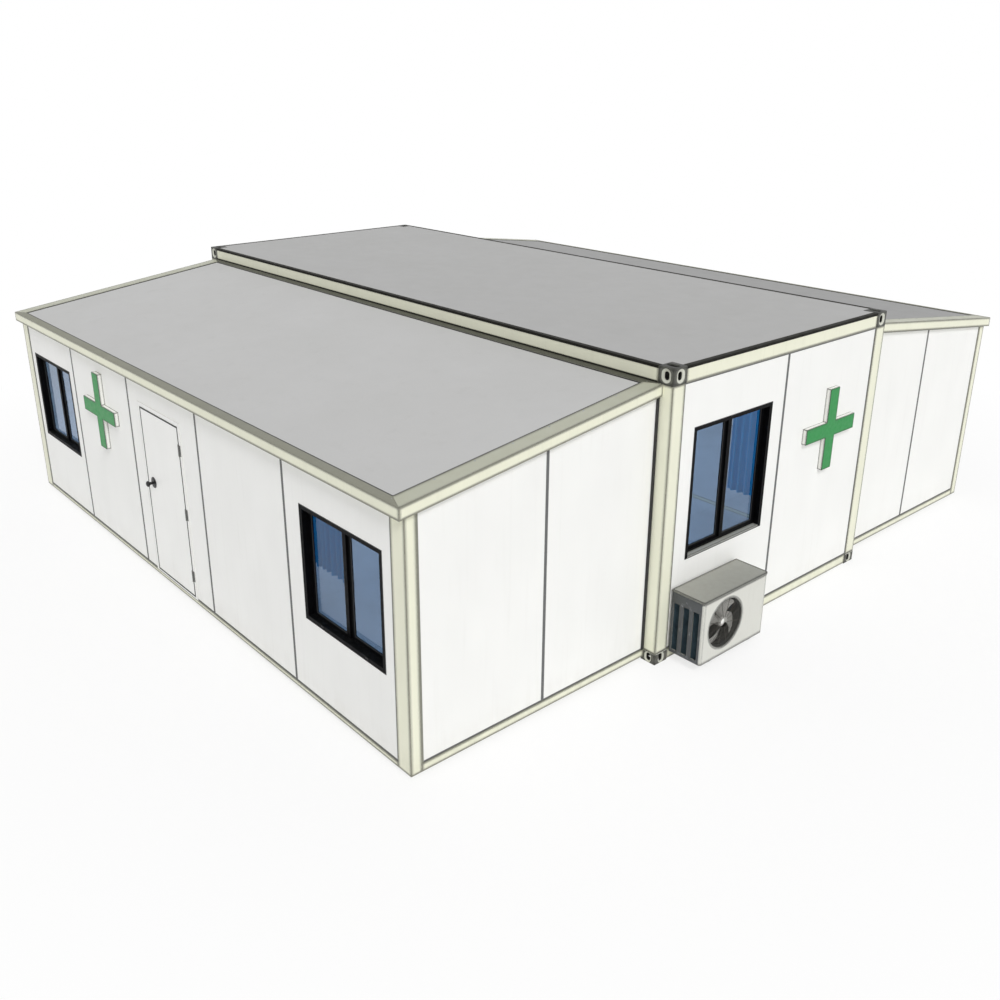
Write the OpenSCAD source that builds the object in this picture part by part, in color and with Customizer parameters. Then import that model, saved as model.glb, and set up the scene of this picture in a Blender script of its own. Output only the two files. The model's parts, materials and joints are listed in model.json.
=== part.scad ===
// Container medical unit: a central container core with a folding wing set up on each long side.
// Millimetres. +X is the end with the air conditioner, -Y the side with the door, +Z up.
// The origin is on the ground, at the middle of the core's four corner castings.

/* [Core] */
// Length of the core over its corner castings
core_l = 8580; // [8400:20:12200]
// Width of the core over its corner castings
core_w = 3510; // [2400:10:3800]
// Height of the core over its corner castings
core_h = 2945; // [2900:5:3300]
// Side of a square corner post of the core
core_post = 165; // [120:5:175]
// Height of the roof beams and of the top castings
roof_beam_h = 160; // [118:2:200]
// Width of the roof beams
roof_beam_w = 80; // [60:5:120]
// How far the castings stand proud of the posts and beams, at the ends and on top
cast_proud = 5; // [3:1:7]
// Height of the header rail that the wing roofs hang on
header_h = 150; // [125:5:200]
// Thickness of the header rail
header_t = 60; // [40:5:80]
// Clearance of the base beams above the ground
beam_clear = 12; // [5:1:20]
// Width of the base beams
base_beam_w = 100; // [80:5:140]
// Height of the top of the end base beams above the ground
end_beam_top = 122; // [121:1:160]

/* [Corner castings] */
// Side of a square corner casting
cast_w = 178; // [178:1:200]
// Height of a bottom casting
cast_h = 120; // [118:1:120]
// Thickness of a casting's walls
cast_wall = 28; // [20:1:32]
// Width of the lock slots in the castings
slot_w = 63.5; // [60:0.5:66]
// Length of the lock slots, end to end
slot_l = 124; // [110:1:130]
// Width of the oval holes in the outer faces
oval_w = 51; // [40:1:56]
// Height of the oval holes in the outer faces
oval_h = 79; // [60:1:84]

/* [Wings] */
// Lap of a wing's end over the core's corner post
wing_lap = 15; // [12:1:60]
// Depth of a wing, from the core's face to its outer wall
wing_d = 2795; // [2000:5:3000]
// Height of the wing frames above the ground
wing_clear = 40; // [20:5:60]
// Height of the long rail under the outer wall
long_rail_h = 50; // [40:5:60]
// Height of the rails under the end walls
end_rail_h = 80; // [60:5:110]
// Width of the wing rails
rail_w = 110; // [90:5:140]
// Width of a wing corner post along the building
wing_post_l = 175; // [100:5:200]
// Width of a wing corner post across the building
wing_post_w = 110; // [90:5:140]
// Radius of the levelling feet under the wings
foot_r = 60; // [40:5:80]
// Set back of the feet from the outer wall
foot_inset = 200; // [150:10:400]
// Distance of the end feet from the wing's ends
foot_end = 620; // [250:10:1500]

/* [Wing roofs] */
// Height of the eave's lower edge above the ground
eave_z = 2314; // [2250:1:2380]
// Vertical thickness of a wing roof
wing_roof_t = 108; // [90:1:125]
// Overhang of the roof past the outer wall
eave_out = 65; // [30:5:120]
// Overhang of the roof past the end walls
verge_out = 35; // [10:5:80]
// Width of the roof frame at the ends
verge_w = 185; // [150:5:200]
// Width of the roof frame along the eave
eave_w = 80; // [40:5:120]
// Width of the roof frame along the core
ridge_w = 65; // [40:5:120]
// Depth of the roof sheet below its frame
sheet_drop = 8; // [2:1:15]

/* [Wall panels] */
// Thickness of the sandwich panels
panel_t = 75; // [50:5:80]
// Set back of the panels from the frame's faces
panel_set = 6; // [2:1:10]
// Gap of a joint between two panels
joint_gap = 4; // [2:1:8]
// Width of one whole panel of the long walls
panel_w = 1626; // [1560:2:1700]
// Width of panel that shows between a window and its inner joint
win_margin = 254; // [60:1:330]
// Set back of the core's end walls from the castings' faces
end_wall_set = 12; // [6:1:20]

/* [Windows] */
// Width of the windows
win_w = 1190; // [900:10:1250]
// Height of the windows in the long walls
win_h = 1085; // [800:5:1150]
// Height of their lower edge above the ground
win_z = 850; // [700:10:950]
// Distance of their middles from the wing's ends
win_end = 905; // [860:5:1100]
// Height of the windows in the end walls of the core
end_win_h = 1310; // [900:5:1350]
// Height of their lower edge above the ground
end_win_z = 1018; // [900:2:1100]
// Distance of the end windows from the middle joint of their wall
end_win_in = 205; // [60:5:300]
// Width of the fixed window frame
frame_w = 35; // [30:1:60]
// Depth of the fixed window frame, through the wall and into the room
frame_d = 105; // [105:1:120]
// Width of a sash's upright members
sash_w = 45; // [35:1:60]
// Height of a sash's rails
sash_rail = 24; // [20:1:40]
// Thickness of a sash
sash_t = 20; // [16:1:22]
// Set back of the outer sash from the frame's face
sash_set = 60; // [10:1:60]
// Overlap of the two sashes at the middle
sash_lap = 10; // [5:1:20]
// Thickness of the glass
glass_t = 6; // [4:1:10]
// Thickness of the sill plates of the end windows
sill_t = 14; // [8:1:25]

/* [Door] */
// Width of the door leaf
leaf_w = 904; // [750:2:950]
// Height of the door leaf
leaf_h = 1910; // [1800:5:2000]
// Thickness of the door leaf
leaf_t = 50; // [40:1:55]
// Offset of the leaf's middle from the middle of its panel
leaf_off = -57; // [-200:1:200]
// Gap around the leaf
leaf_gap = 6; // [5:0.5:8]
// Width of the door frame beside the leaf's gap
jamb_w = 38; // [30:1:45]
// Width of the stop behind the leaf's edges
stop_w = 15; // [8:1:25]
// Height of the threshold plate
threshold_h = 10; // [5:1:15]
// Height of the knob above the leaf's lower edge
knob_h = 1084; // [950:2:1150]
// Distance of the knob from the leaf's free edge
knob_inset = 150; // [90:5:200]
// Radius of the knob's head
knob_r = 33; // [25:1:45]
// Length of the knob's head
knob_head = 40; // [25:1:50]
// Radius of the knob's neck
neck_r = 15; // [12:1:22]
// Reach of the knob from the leaf's face
knob_out = 88; // [60:1:110]
// Radius of the rose behind the knob
rose_r = 44; // [38:1:60]
// Thickness of the rose
rose_t = 9; // [4:1:12]
// Radius of the spindle through the leaf
spindle_r = 10; // [6:0.5:14]
// Radius of a hinge knuckle
knuckle_r = 8; // [6:0.5:11]
// Radius of a hinge pin
pin_r = 4; // [3:0.5:5]
// Height of a hinge
hinge_h = 120; // [90:5:160]
// Distance of the outer hinges from the leaf's ends
hinge_inset = 250; // [180:5:400]
// Width of a hinge plate
hinge_plate_w = 30; // [20:1:34]
// Thickness of a hinge plate
hinge_plate_t = 3; // [2:0.5:4]

/* [Curtains] */
// Width of the privacy curtains, as they hang
curtain_w = 1300; // [600:10:1500]
// Depth of a curtain's folds
curtain_d = 60; // [30:2:60]
// Height of the curtains' lower edge above the floor
curtain_low = 260; // [50:10:600]
// Distance of the rear curtain from the core's corner post
rear_curtain_end = 325; // [100:5:800]
// Distance of the front curtain from the wing's end
front_curtain_end = 2540; // [1600:10:4000]
// Distance of the front curtain from the wing's outer face
front_curtain_in = 1150; // [500:10:2000]
// Height of a curtain track
track_h = 20; // [12:1:30]
// Width of a curtain track
track_w = 18; // [12:1:30]

/* [Crosses] */
// Length of the arms of a cross, end to end
cross_l = 890; // [600:10:1000]
// Width of the arms of a cross
cross_w = 165; // [100:5:220]
// Thickness of a cross
cross_t = 50; // [20:1:70]
// Distance of the cross on the long wall from the door's panel
cross_in = 790; // [520:1:900]
// Height of its middle above the ground
cross_z = 1700; // [1500:5:1750]
// Distance of the cross on the end wall from the middle joint
end_cross_y = 842; // [560:2:1000]
// Height of its middle above the ground
end_cross_z = 1829; // [1500:1:2000]

/* [Air conditioner] */
// Width of the casing
ac_w = 980; // [860:5:1050]
// Height of the casing with its lid
ac_h = 668; // [600:2:720]
// Depth of the casing
ac_d = 374; // [360:2:420]
// Height of its lower edge above the ground
ac_z = 100; // [70:2:140]
// Distance of the casing from the corner post
ac_side = 21; // [20:1:400]
// Gap behind the casing
ac_back = 10; // [10:1:40]
// Thickness of the casing's sheet
ac_sheet = 12; // [6:1:14]
// Radius of the casing's front corners
ac_corner = 24; // [16:1:34]
// Thickness of the lid
lid_t = 18; // [12:1:30]
// Overhang of the lid past the casing
lid_out = 6; // [2:1:8]
// Radius of the fan opening
fan_hole_r = 254; // [220:1:262]
// Radius of the fan
fan_r = 232; // [200:1:240]
// Distance of the fan's axis from the middle of the casing, along the wall
fan_off = 139; // [100:1:150]
// Height of the fan's axis above the middle of the casing
fan_up = 14; // [-40:1:40]
// Number of fan blades
blades = 4; // [3:1:6]
// Radius of the fan's hub
hub_r = 56; // [40:1:70]
// Depth of the fan's blades along its axis
blade_d = 70; // [40:1:80]
// Thickness of a blade
blade_t = 4; // [2:0.5:6]
// Lean of a blade from the fan's plane, in degrees
blade_lean = 28; // [15:1:35]
// Clearance between the fan and its guard
fan_gap = 14; // [8:1:20]
// Radius of the motor
motor_r = 62; // [45:1:80]
// Radius of the motor's shaft
shaft_r = 8; // [6:0.5:12]
// Clearance between the motor and the fan
motor_gap = 10; // [6:1:20]
// Number of rings in the fan guard
guard_rings = 5; // [3:1:8]
// Width of a guard bar
guard_bar = 6; // [4:0.5:10]
// Thickness of the guard
guard_t = 6; // [3:0.5:10]
// Lap of the guard's rim behind the casing's front
guard_rim = 12; // [6:1:20]
// Thickness of the condenser coil
coil_t = 28; // [18:1:40]
// Distance of the first louvre slot from the casing's back
louvre_in = 22; // [18:1:28]
// Width of a louvre slot in the casing's side
louvre_w = 70; // [40:1:72]
// Width of the bars between the louvre slots
louvre_bar = 46; // [20:1:48]
// Height of a louvre slot
louvre_h = 500; // [380:5:500]
// Height of the slots' lower ends above the casing's floor
louvre_low = 23; // [10:1:60]
// Distance of the brackets from the casing's sides
bracket_in = 160; // [60:5:300]
// Width of a bracket
bracket_w = 40; // [30:1:60]
// Height of a bracket
bracket_h = 30; // [15:1:40]

/* [Clearances] */
// Clearance of a pin or shaft in its bore
pin_play = 0.3; // [0.2:0.05:0.5]
// Gap between pieces that are seated but not joined
seat_gap = 0.3; // [0.2:0.05:0.5]

/* [Hidden] */
$fn = 64;
// How far a cut runs past the face that it opens
over = 1;

// Colours
ivory = "#F3F2DC";
panel_white = "#F4F4F2";
roof_grey = "#BFBFBF";
steel_grey = "#8F9290";
black_frame = "#15161A";
glass_blue = [0.44, 0.55, 0.70, 0.5];
cross_green = "#1E8A4C";
floor_grey = "#8A8C8E";
ac_white = "#E9E9E4";
coil_grey = "#24282C";
motor_grey = "#3A3D40";
fan_grey = "#55585C";
curtain_blue = "#3F7FC0";

// Faces and levels of the core
core_x = core_l / 2;
core_y = core_w / 2;
beam_z = core_h - roof_beam_h;
end_wall_x = core_x - end_wall_set;
end_face_x = core_x - cast_proud;
beam_top = core_h - cast_proud;
post_in_x = core_x - core_post;
post_in_y = core_y - core_post;
cast_in_x = core_x - cast_w;
cast_in_y = core_y - cast_w;

// Faces and levels of the wings
wing_x = post_in_x + wing_lap;
wing_y = core_y + wing_d;
floor_z = wing_clear + long_rail_h;
end_rail_z = wing_clear + end_rail_h;
wall_y = wing_y - panel_set;
wall_x = wing_x - panel_set;
eave_y = wing_y + eave_out;
verge_x = wing_x + verge_out;
roof_slope = (beam_z - wing_roof_t - eave_z) / (eave_y - core_y);
wing_post_in_x = wing_x - wing_post_l;
wing_post_in_y = wing_y - wing_post_w;

// Places of the windows and of the panel joints along a long wall
win_x = wing_x - win_end;
win_in_x = win_x - win_w / 2;
joints = [for (x = win_in_x - win_margin; x > -win_in_x; x = x - panel_w) x];
door_joint = floor(len(joints) / 2) - 1;
door_panel_x1 = joints[door_joint];
door_panel_x0 = joints[door_joint + 1];
edges = concat([wing_post_in_x], joints, [-wing_post_in_x]);
end_win_y = end_win_in + win_w / 2;

// Places of the door, on the front wall
leaf_x = (door_panel_x0 + door_panel_x1) / 2 + leaf_off;
leaf_x0 = leaf_x - leaf_w / 2;
leaf_x1 = leaf_x + leaf_w / 2;
leaf_z0 = floor_z + threshold_h + leaf_gap;
leaf_z1 = leaf_z0 + leaf_h;
leaf_y0 = -wing_y;
doorway_x0 = leaf_x0 - leaf_gap - jamb_w;
doorway_x1 = leaf_x1 + leaf_gap + jamb_w;
doorway_z1 = leaf_z1 + leaf_gap + jamb_w;
hinge_x = leaf_x1 + leaf_gap / 2;
hinge_y = leaf_y0 - knuckle_r;
plate_gap = 1;
hinge_zs = [leaf_z0 + hinge_inset, (leaf_z0 + leaf_z1) / 2, leaf_z1 - hinge_inset];
knob_x = leaf_x0 + knob_inset;
knob_z = leaf_z0 + knob_h;
cross_x = door_panel_x0 - cross_in;

// Places of the curtains: the rear one hangs under the header rail
rear_curtain_y = core_y - header_t / 2;
rear_curtain_x = post_in_x - rear_curtain_end - curtain_w;
rear_track_z = beam_z - header_h - track_h;
front_curtain_y = wing_y - front_curtain_in;
front_curtain_x = wing_x - front_curtain_end - curtain_w;

// Places of the air conditioner
ac_x0 = core_x + ac_back;
ac_x1 = ac_x0 + ac_d;
ac_y0 = -post_in_y + ac_side;
ac_y1 = ac_y0 + ac_w;
ac_lid_z = ac_z + ac_h - lid_t;
ac_mid_z = (ac_z + ac_lid_z) / 2;
louvre_z = ac_z + ac_sheet + louvre_low;
fan_y = (ac_y0 + ac_y1) / 2 - fan_off;
fan_z = ac_mid_z + fan_up;
guard_x = ac_x1 - ac_sheet - guard_t;
fan_x = guard_x - fan_gap - blade_d;
motor_x1 = fan_x - motor_gap;
motor_x0 = ac_x0 + ac_sheet + coil_t + motor_gap;
shaft_in = blade_d - motor_gap;

// Height of the wing roof's underside at a distance y from the middle of the building
function under(y) = eave_z + roof_slope * (eave_y - y);

// Block from one corner to the opposite one
module block(a, b) {
    translate(a) cube(b - a);
}

// Four copies of what is placed in the +X +Y corner
module corners() {
    for (sx = [0, 1], sy = [0, 1])
        mirror([sx, 0, 0]) mirror([0, sy, 0]) children();
}

// A copy at each end of what is placed at the +X end
module ends() {
    for (sx = [0, 1])
        mirror([sx, 0, 0]) children();
}

// The front wing lies at -Y and the rear wing at +Y
module front() {
    mirror([0, 1, 0]) children();
}

// What is placed in the rear wing, in both wings
module both_wings() {
    children();
    front() children();
}

// Prism along X from x0 to x1 over an outline in Y and Z
module prism_x(x0, x1, outline) {
    translate([x0, 0, 0]) rotate([90, 0, 90]) linear_extrude(x1 - x0) polygon(outline);
}

// Upright piece that ends just under the wing roof's sloping underside
module under_roof(x0, x1, y0, y1, z0) {
    prism_x(x0, x1, [[y0, z0], [y1, z0], [y1, under(y1) - seat_gap], [y0, under(y0) - seat_gap]]);
}

// Slot with round ends through a plate, along X
module slot_x(length, width, depth) {
    run = length - width;
    translate([-run / 2, -width / 2, 0]) cube([run, width, depth]);
    for (s = [-1, 1])
        translate([s * run / 2, 0, 0]) cylinder(h = depth, d = width);
}

// ---- Core ----

// Hollow casting with its outer corner at the origin and its body towards -X and -Y
module casting(height, slot_z) {
    inner = cast_w - 2 * cast_wall;
    difference() {
        translate([-cast_w, -cast_w, 0]) cube([cast_w, cast_w, height]);
        translate([-cast_w + cast_wall, -cast_w + cast_wall, cast_wall])
            cube([inner, inner, height - 2 * cast_wall]);
        translate([-cast_w / 2, -cast_w / 2, slot_z]) slot_x(slot_l, slot_w, cast_wall);
        translate([-cast_wall, -cast_w / 2, height / 2]) rotate([0, 90, 0])
            slot_x(oval_h, oval_w, cast_wall);
        translate([-cast_w / 2, 0, height / 2]) rotate([90, 90, 0])
            slot_x(oval_h, oval_w, cast_wall);
    }
}

module core_posts() {
    color(ivory) corners()
        block([post_in_x, post_in_y, cast_h], [end_face_x, core_y, beam_z]);
}

module bottom_castings() {
    color(steel_grey) corners() translate([core_x, core_y, 0]) casting(cast_h, 0);
}

module top_castings() {
    color(steel_grey) corners()
        translate([core_x, core_y, beam_z]) casting(roof_beam_h, roof_beam_h - cast_wall);
}

module core_base_beams() {
    color(ivory) {
        for (sy = [0, 1]) mirror([0, sy, 0])
            block([-cast_in_x, core_y - base_beam_w, beam_clear], [cast_in_x, core_y, floor_z]);
        ends()
            block([core_x - base_beam_w, -cast_in_y, beam_clear],
                [end_face_x, cast_in_y, end_beam_top]);
    }
}

module core_roof_beams() {
    color(ivory) {
        for (sy = [0, 1]) mirror([0, sy, 0])
            block([-cast_in_x, core_y - roof_beam_w, beam_z], [cast_in_x, core_y, beam_top]);
        ends()
            block([core_x - roof_beam_w, -cast_in_y, beam_z], [end_face_x, cast_in_y, beam_top]);
    }
}

module core_headers() {
    color(ivory) for (sy = [0, 1]) mirror([0, sy, 0])
        block([-post_in_x, core_y - header_t, beam_z - header_h], [post_in_x, core_y, beam_z]);
}

// Plate between the core's beams, notched around the castings
module core_plate(beam_w, z0, z1) {
    x = core_x - beam_w;
    y = core_y - beam_w;
    difference() {
        block([-x, -y, z0], [x, y, z1]);
        corners() block([cast_in_x, cast_in_y, z0 - over], [core_x, core_y, z1 + over]);
    }
}

module core_floor() {
    color(floor_grey) core_plate(base_beam_w, beam_clear, floor_z);
}

module core_roof_panel() {
    color(roof_grey) core_plate(roof_beam_w, beam_z + sheet_drop, beam_top - sheet_drop);
}

// Opening of an end window, through the end wall
module end_window_cut() {
    block([end_wall_x - panel_t - over, -end_win_y - win_w / 2, end_win_z],
        [end_wall_x + over, -end_win_y + win_w / 2, end_win_z + end_win_h]);
}

// End wall of the core at +X: two panels with a joint at the middle
module core_end_wall() {
    difference() {
        for (sy = [-1, 1])
            block([end_wall_x - panel_t, sy > 0 ? joint_gap / 2 : -post_in_y, end_beam_top],
                [end_wall_x, sy > 0 ? post_in_y : -joint_gap / 2, beam_z]);
        end_window_cut();
    }
}

module near_end_wall() {
    color(panel_white) core_end_wall();
}

module far_end_wall() {
    color(panel_white) mirror([1, 0, 0]) core_end_wall();
}

// ---- Wings, each built at +Y ----

module wing_floors() {
    color(floor_grey) both_wings()
        block([-wing_x + rail_w, core_y, wing_clear], [wing_x - rail_w, wing_post_in_y, floor_z]);
}

module wing_rails() {
    color(ivory) {
        block([-wing_post_in_x, wing_post_in_y, wing_clear], [wing_post_in_x, wing_y, floor_z]);
        ends()
            block([wing_x - rail_w, core_y, wing_clear], [wing_x, wing_post_in_y, end_rail_z]);
    }
}

module wing_posts() {
    color(ivory) ends() under_roof(wing_post_in_x, wing_x, wing_post_in_y, wing_y, wing_clear);
}

// Two end wall panels at each end, between the core post and the wing post
module wing_end_walls() {
    middle = (core_y + wing_post_in_y) / 2;
    color(panel_white) ends() {
        under_roof(wall_x - panel_t, wall_x, core_y, middle - joint_gap / 2, end_rail_z);
        under_roof(wall_x - panel_t, wall_x, middle + joint_gap / 2, wing_post_in_y, end_rail_z);
    }
}

// Outline of the wing roof in Y and Z, between two distances from the middle
module roof_prism(x0, x1, y0, y1, drop) {
    t = wing_roof_t;
    prism_x(x0, x1, [[y0, under(y0)], [y1, under(y1)], [y1, under(y1) + t - drop],
        [y0, under(y0) + t - drop]]);
}

module roof_frame() {
    color(ivory) difference() {
        roof_prism(-verge_x, verge_x, core_y, eave_y, 0);
        block([-verge_x + verge_w, core_y + ridge_w, eave_z - over],
            [verge_x - verge_w, eave_y - eave_w, core_h]);
    }
}

module roof_panel() {
    color(roof_grey)
        roof_prism(-verge_x + verge_w, verge_x - verge_w, core_y + ridge_w, eave_y - eave_w,
            sheet_drop);
}

module wing_feet() {
    color(steel_grey) both_wings() for (s = [-1, 0, 1])
        translate([s * (wing_x - foot_end), wing_y - foot_inset, 0])
            cylinder(h = wing_clear, r = foot_r);
}

// Piece of a long wall between two places along X
module long_panel(x0, x1) {
    under_roof(x0, x1, wall_y - panel_t, wall_y, floor_z);
}

// Whole panel of a long wall, between the joints or posts at edges[i] and edges[i + 1]
module whole_panel(i) {
    g = joint_gap / 2;
    long_panel(edges[i + 1] + (i < len(joints) ? g : 0), edges[i] - (i > 0 ? g : 0));
}

// Openings of the windows in a long wall
module long_window_cuts() {
    ends() block([win_in_x, wall_y - panel_t - over, win_z],
        [win_in_x + win_w, wall_y + over, win_z + win_h]);
}

// The panels of a long wall, with or without the one that the door takes
module long_wall(with_door) {
    difference() {
        for (i = [0:len(joints)])
            if (!with_door || i != door_joint + 1) whole_panel(i);
        long_window_cuts();
    }
}

module front_wall() {
    color(panel_white) front() long_wall(true);
}

module rear_wall() {
    color(panel_white) long_wall(false);
}

module door_wall_sides() {
    g = joint_gap / 2;
    color(panel_white) front() {
        long_panel(door_panel_x0 + g, doorway_x0);
        long_panel(doorway_x1, door_panel_x1 - g);
    }
}

module door_wall_head() {
    color(panel_white) front()
        under_roof(doorway_x0, doorway_x1, wall_y - panel_t, wall_y, doorway_z1);
}

// ---- Curtains ----

module curtain_tracks() {
    half = track_w / 2;
    z = under(front_curtain_y) - track_h;
    color(steel_grey) {
        block([rear_curtain_x, rear_curtain_y - half, rear_track_z],
            [rear_curtain_x + curtain_w, rear_curtain_y + half, rear_track_z + track_h]);
        front() under_roof(front_curtain_x, front_curtain_x + curtain_w,
            front_curtain_y - half, front_curtain_y + half, z);
    }
}

// Space that a curtain's folds take under its track
module curtain(x, y, track_z) {
    block([x, y - curtain_d / 2, floor_z + curtain_low],
        [x + curtain_w, y + curtain_d / 2, track_z - seat_gap]);
}

module privacy_curtains() {
    color(curtain_blue) {
        curtain(rear_curtain_x, rear_curtain_y, rear_track_z);
        curtain(front_curtain_x, -front_curtain_y, under(front_curtain_y) - track_h);
    }
}

// ---- Windows, each built flat: X across, Z up, outer face at Y = 0, inside towards +Y ----

// Fixed frame of a window; with a sill its lower member is set back
module window_frame(w, h, sill) {
    difference() {
        cube([w, frame_d, h]);
        block([frame_w, -over, frame_w], [w - frame_w, frame_d + over, h - frame_w]);
        if (sill)
            block([frame_w, -over, -over], [w - frame_w, sash_set, frame_w + over]);
    }
}

// Outer size of one sash of a window, and its places
function sash_size(w) = (w - 2 * frame_w + sash_lap) / 2;
function sash_x(w, side) = side == 0 ? frame_w : w - frame_w - sash_size(w);
function sash_y(side) = sash_set + side * (sash_t + seat_gap);

module window_sash(w, h, side) {
    s = sash_size(w);
    sash_h = h - 2 * frame_w;
    translate([sash_x(w, side), sash_y(side), frame_w]) difference() {
        cube([s, sash_t, sash_h]);
        block([sash_w, -over, sash_rail], [s - sash_w, sash_t + over, sash_h - sash_rail]);
    }
}

module window_pane(w, h, side) {
    edge = frame_w + sash_rail;
    translate([sash_x(w, side) + sash_w, sash_y(side) + (sash_t - glass_t) / 2, edge])
        cube([sash_size(w) - 2 * sash_w, glass_t, h - 2 * edge]);
}

// Puts a flat window in the front wall at x
module at_front(x) {
    translate([x - win_w / 2, -wall_y, win_z]) children();
}

// Puts a flat window in each place that it has: front, rear and end walls
module long_windows() {
    for (sy = [0, 1]) mirror([0, sy, 0])
        for (sx = [-1, 1]) at_front(sx * win_x) children();
}

module end_windows() {
    ends() translate([end_wall_x, -end_win_y + win_w / 2, end_win_z])
        rotate([0, 0, 90]) mirror([1, 0, 0]) children();
}

module window_frames() {
    color(black_frame) {
        long_windows() window_frame(win_w, win_h, false);
        end_windows() window_frame(win_w, end_win_h, true);
    }
}

module window_sashes() {
    color(black_frame) for (side = [0, 1]) {
        long_windows() window_sash(win_w, win_h, side);
        end_windows() window_sash(win_w, end_win_h, side);
    }
}

module window_glass() {
    color(glass_blue) for (side = [0, 1]) {
        long_windows() window_pane(win_w, win_h, side);
        end_windows() window_pane(win_w, end_win_h, side);
    }
}

module window_sills() {
    color(steel_grey) end_windows()
        translate([frame_w, 0, 0]) cube([win_w - 2 * frame_w, sash_set, sill_t]);
}

// ---- Door ----

module door_frame() {
    y1 = -wall_y + panel_t;
    color(panel_white) difference() {
        block([doorway_x0, leaf_y0, floor_z], [doorway_x1, y1, doorway_z1]);
        block([leaf_x0 - leaf_gap, leaf_y0 - over, floor_z + threshold_h],
            [leaf_x1 + leaf_gap, leaf_y0 + leaf_t + leaf_gap, leaf_z1 + leaf_gap]);
        block([leaf_x0 + stop_w, leaf_y0 - over, floor_z + threshold_h],
            [leaf_x1 - stop_w, y1 + over, leaf_z1 - stop_w]);
    }
}

module door_leaf() {
    color(panel_white) difference() {
        block([leaf_x0, leaf_y0, leaf_z0], [leaf_x1, leaf_y0 + leaf_t, leaf_z1]);
        translate([knob_x, leaf_y0 - over, knob_z]) rotate([-90, 0, 0])
            cylinder(h = leaf_t + 2 * over, r = spindle_r + pin_play);
    }
}

// One knob with its rose, from the leaf's face outwards; the head is a flattened ball
module knob_half() {
    head = [for (a = [-60:15:90]) [knob_r * cos(a), knob_out - knob_head / 2 * (1 - sin(a))]];
    rotate_extrude() polygon(concat([[0, 0], [rose_r, 0], [rose_r, rose_t / 2],
        [rose_r - rose_t, rose_t], [neck_r, rose_t]], head));
}

module door_knob() {
    color(steel_grey) translate([knob_x, leaf_y0, knob_z]) {
        translate([0, -seat_gap, 0]) rotate([90, 0, 0]) knob_half();
        translate([0, leaf_t + seat_gap, 0]) rotate([-90, 0, 0]) knob_half();
        translate([0, -rose_t / 2, 0]) rotate([-90, 0, 0])
            cylinder(h = leaf_t + rose_t, r = spindle_r);
    }
}

// Fixed half of the hinges: end knuckles, pin and the plate on the door frame
module door_hinges_fixed() {
    third = hinge_h / 3;
    plate_y = knuckle_r - hinge_plate_t;
    color(steel_grey) for (z = hinge_zs) translate([hinge_x, hinge_y, z - hinge_h / 2]) {
        for (k = [0, 2]) translate([0, 0, k * third]) {
            cylinder(h = third, r = knuckle_r);
            block([0, plate_y, 0], [hinge_plate_w, knuckle_r, third]);
        }
        cylinder(h = hinge_h, r = pin_r);
        block([knuckle_r + plate_gap, plate_y, 0], [hinge_plate_w, knuckle_r, hinge_h]);
    }
}

// Moving half of the hinges: middle knuckle with its bore and the plate on the leaf
module door_hinges_moving() {
    third = hinge_h / 3;
    plate_y = knuckle_r - hinge_plate_t;
    knuckle_h = third - 2 * pin_play;
    color(steel_grey) for (z = hinge_zs) translate([hinge_x, hinge_y, z - hinge_h / 2])
        difference() {
            union() {
                translate([0, 0, third + pin_play]) {
                    cylinder(h = knuckle_h, r = knuckle_r);
                    block([-knuckle_r - plate_gap, plate_y, 0], [0, knuckle_r, knuckle_h]);
                }
                block([-hinge_plate_w, plate_y, 0], [-knuckle_r - plate_gap, knuckle_r, hinge_h]);
            }
            cylinder(h = hinge_h, r = pin_r + pin_play);
        }
}

// ---- Crosses ----

// Flat cross, X across, Z up, back at Y = 0, raised towards -Y
module cross_body() {
    translate([-cross_l / 2, -cross_t, -cross_w / 2]) cube([cross_l, cross_t, cross_w]);
    translate([-cross_w / 2, -cross_t, -cross_l / 2]) cube([cross_w, cross_t, cross_l]);
}

module wall_crosses() {
    color(cross_green) {
        translate([cross_x, -wall_y, cross_z]) cross_body();
        translate([end_wall_x, end_cross_y, end_cross_z]) rotate([0, 0, 90]) cross_body();
    }
}

// ---- Air conditioner ----

// Outline of the casing in plan with round front corners, inset by a distance
module ac_outline(inset, corner) {
    x0 = ac_x0 + inset;
    x1 = ac_x1 - inset;
    y0 = ac_y0 + inset;
    y1 = ac_y1 - inset;
    difference() {
        translate([x0, y0]) square([x1 - x0, y1 - y0]);
        translate([x1 - corner, y0]) square([corner, corner]);
        translate([x1 - corner, y1 - corner]) square([corner, corner]);
    }
    for (y = [y0 + corner, y1 - corner]) translate([x1 - corner, y]) circle(r = corner);
}

module ac_casing() {
    color(ac_white) difference() {
        translate([0, 0, ac_z]) linear_extrude(ac_lid_z - ac_z) ac_outline(0, ac_corner);
        translate([0, 0, ac_z + ac_sheet]) linear_extrude(ac_h)
            ac_outline(ac_sheet, ac_corner - ac_sheet);
        translate([ac_x1 - ac_sheet - over, fan_y, fan_z]) rotate([0, 90, 0])
            cylinder(h = ac_sheet + 2 * over, r = fan_hole_r);
        for (i = [0:2])
            translate([ac_x0 + louvre_in + i * (louvre_w + louvre_bar), ac_y0 - over, louvre_z])
                cube([louvre_w, ac_sheet + 2 * over, louvre_h]);
    }
}

module ac_lid() {
    color(steel_grey) translate([0, 0, ac_lid_z]) linear_extrude(lid_t)
        ac_outline(-lid_out, ac_corner + lid_out);
}

module ac_coil() {
    x0 = ac_x0 + ac_sheet + seat_gap;
    y0 = ac_y0 + ac_sheet + seat_gap;
    z0 = ac_z + ac_sheet;
    z1 = ac_lid_z - seat_gap;
    color(coil_grey) {
        block([x0, y0, z0], [x0 + coil_t, ac_y1 - ac_sheet - seat_gap, z1]);
        block([x0, y0, z0], [ac_x1 - ac_corner, y0 + coil_t, z1]);
    }
}

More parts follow.
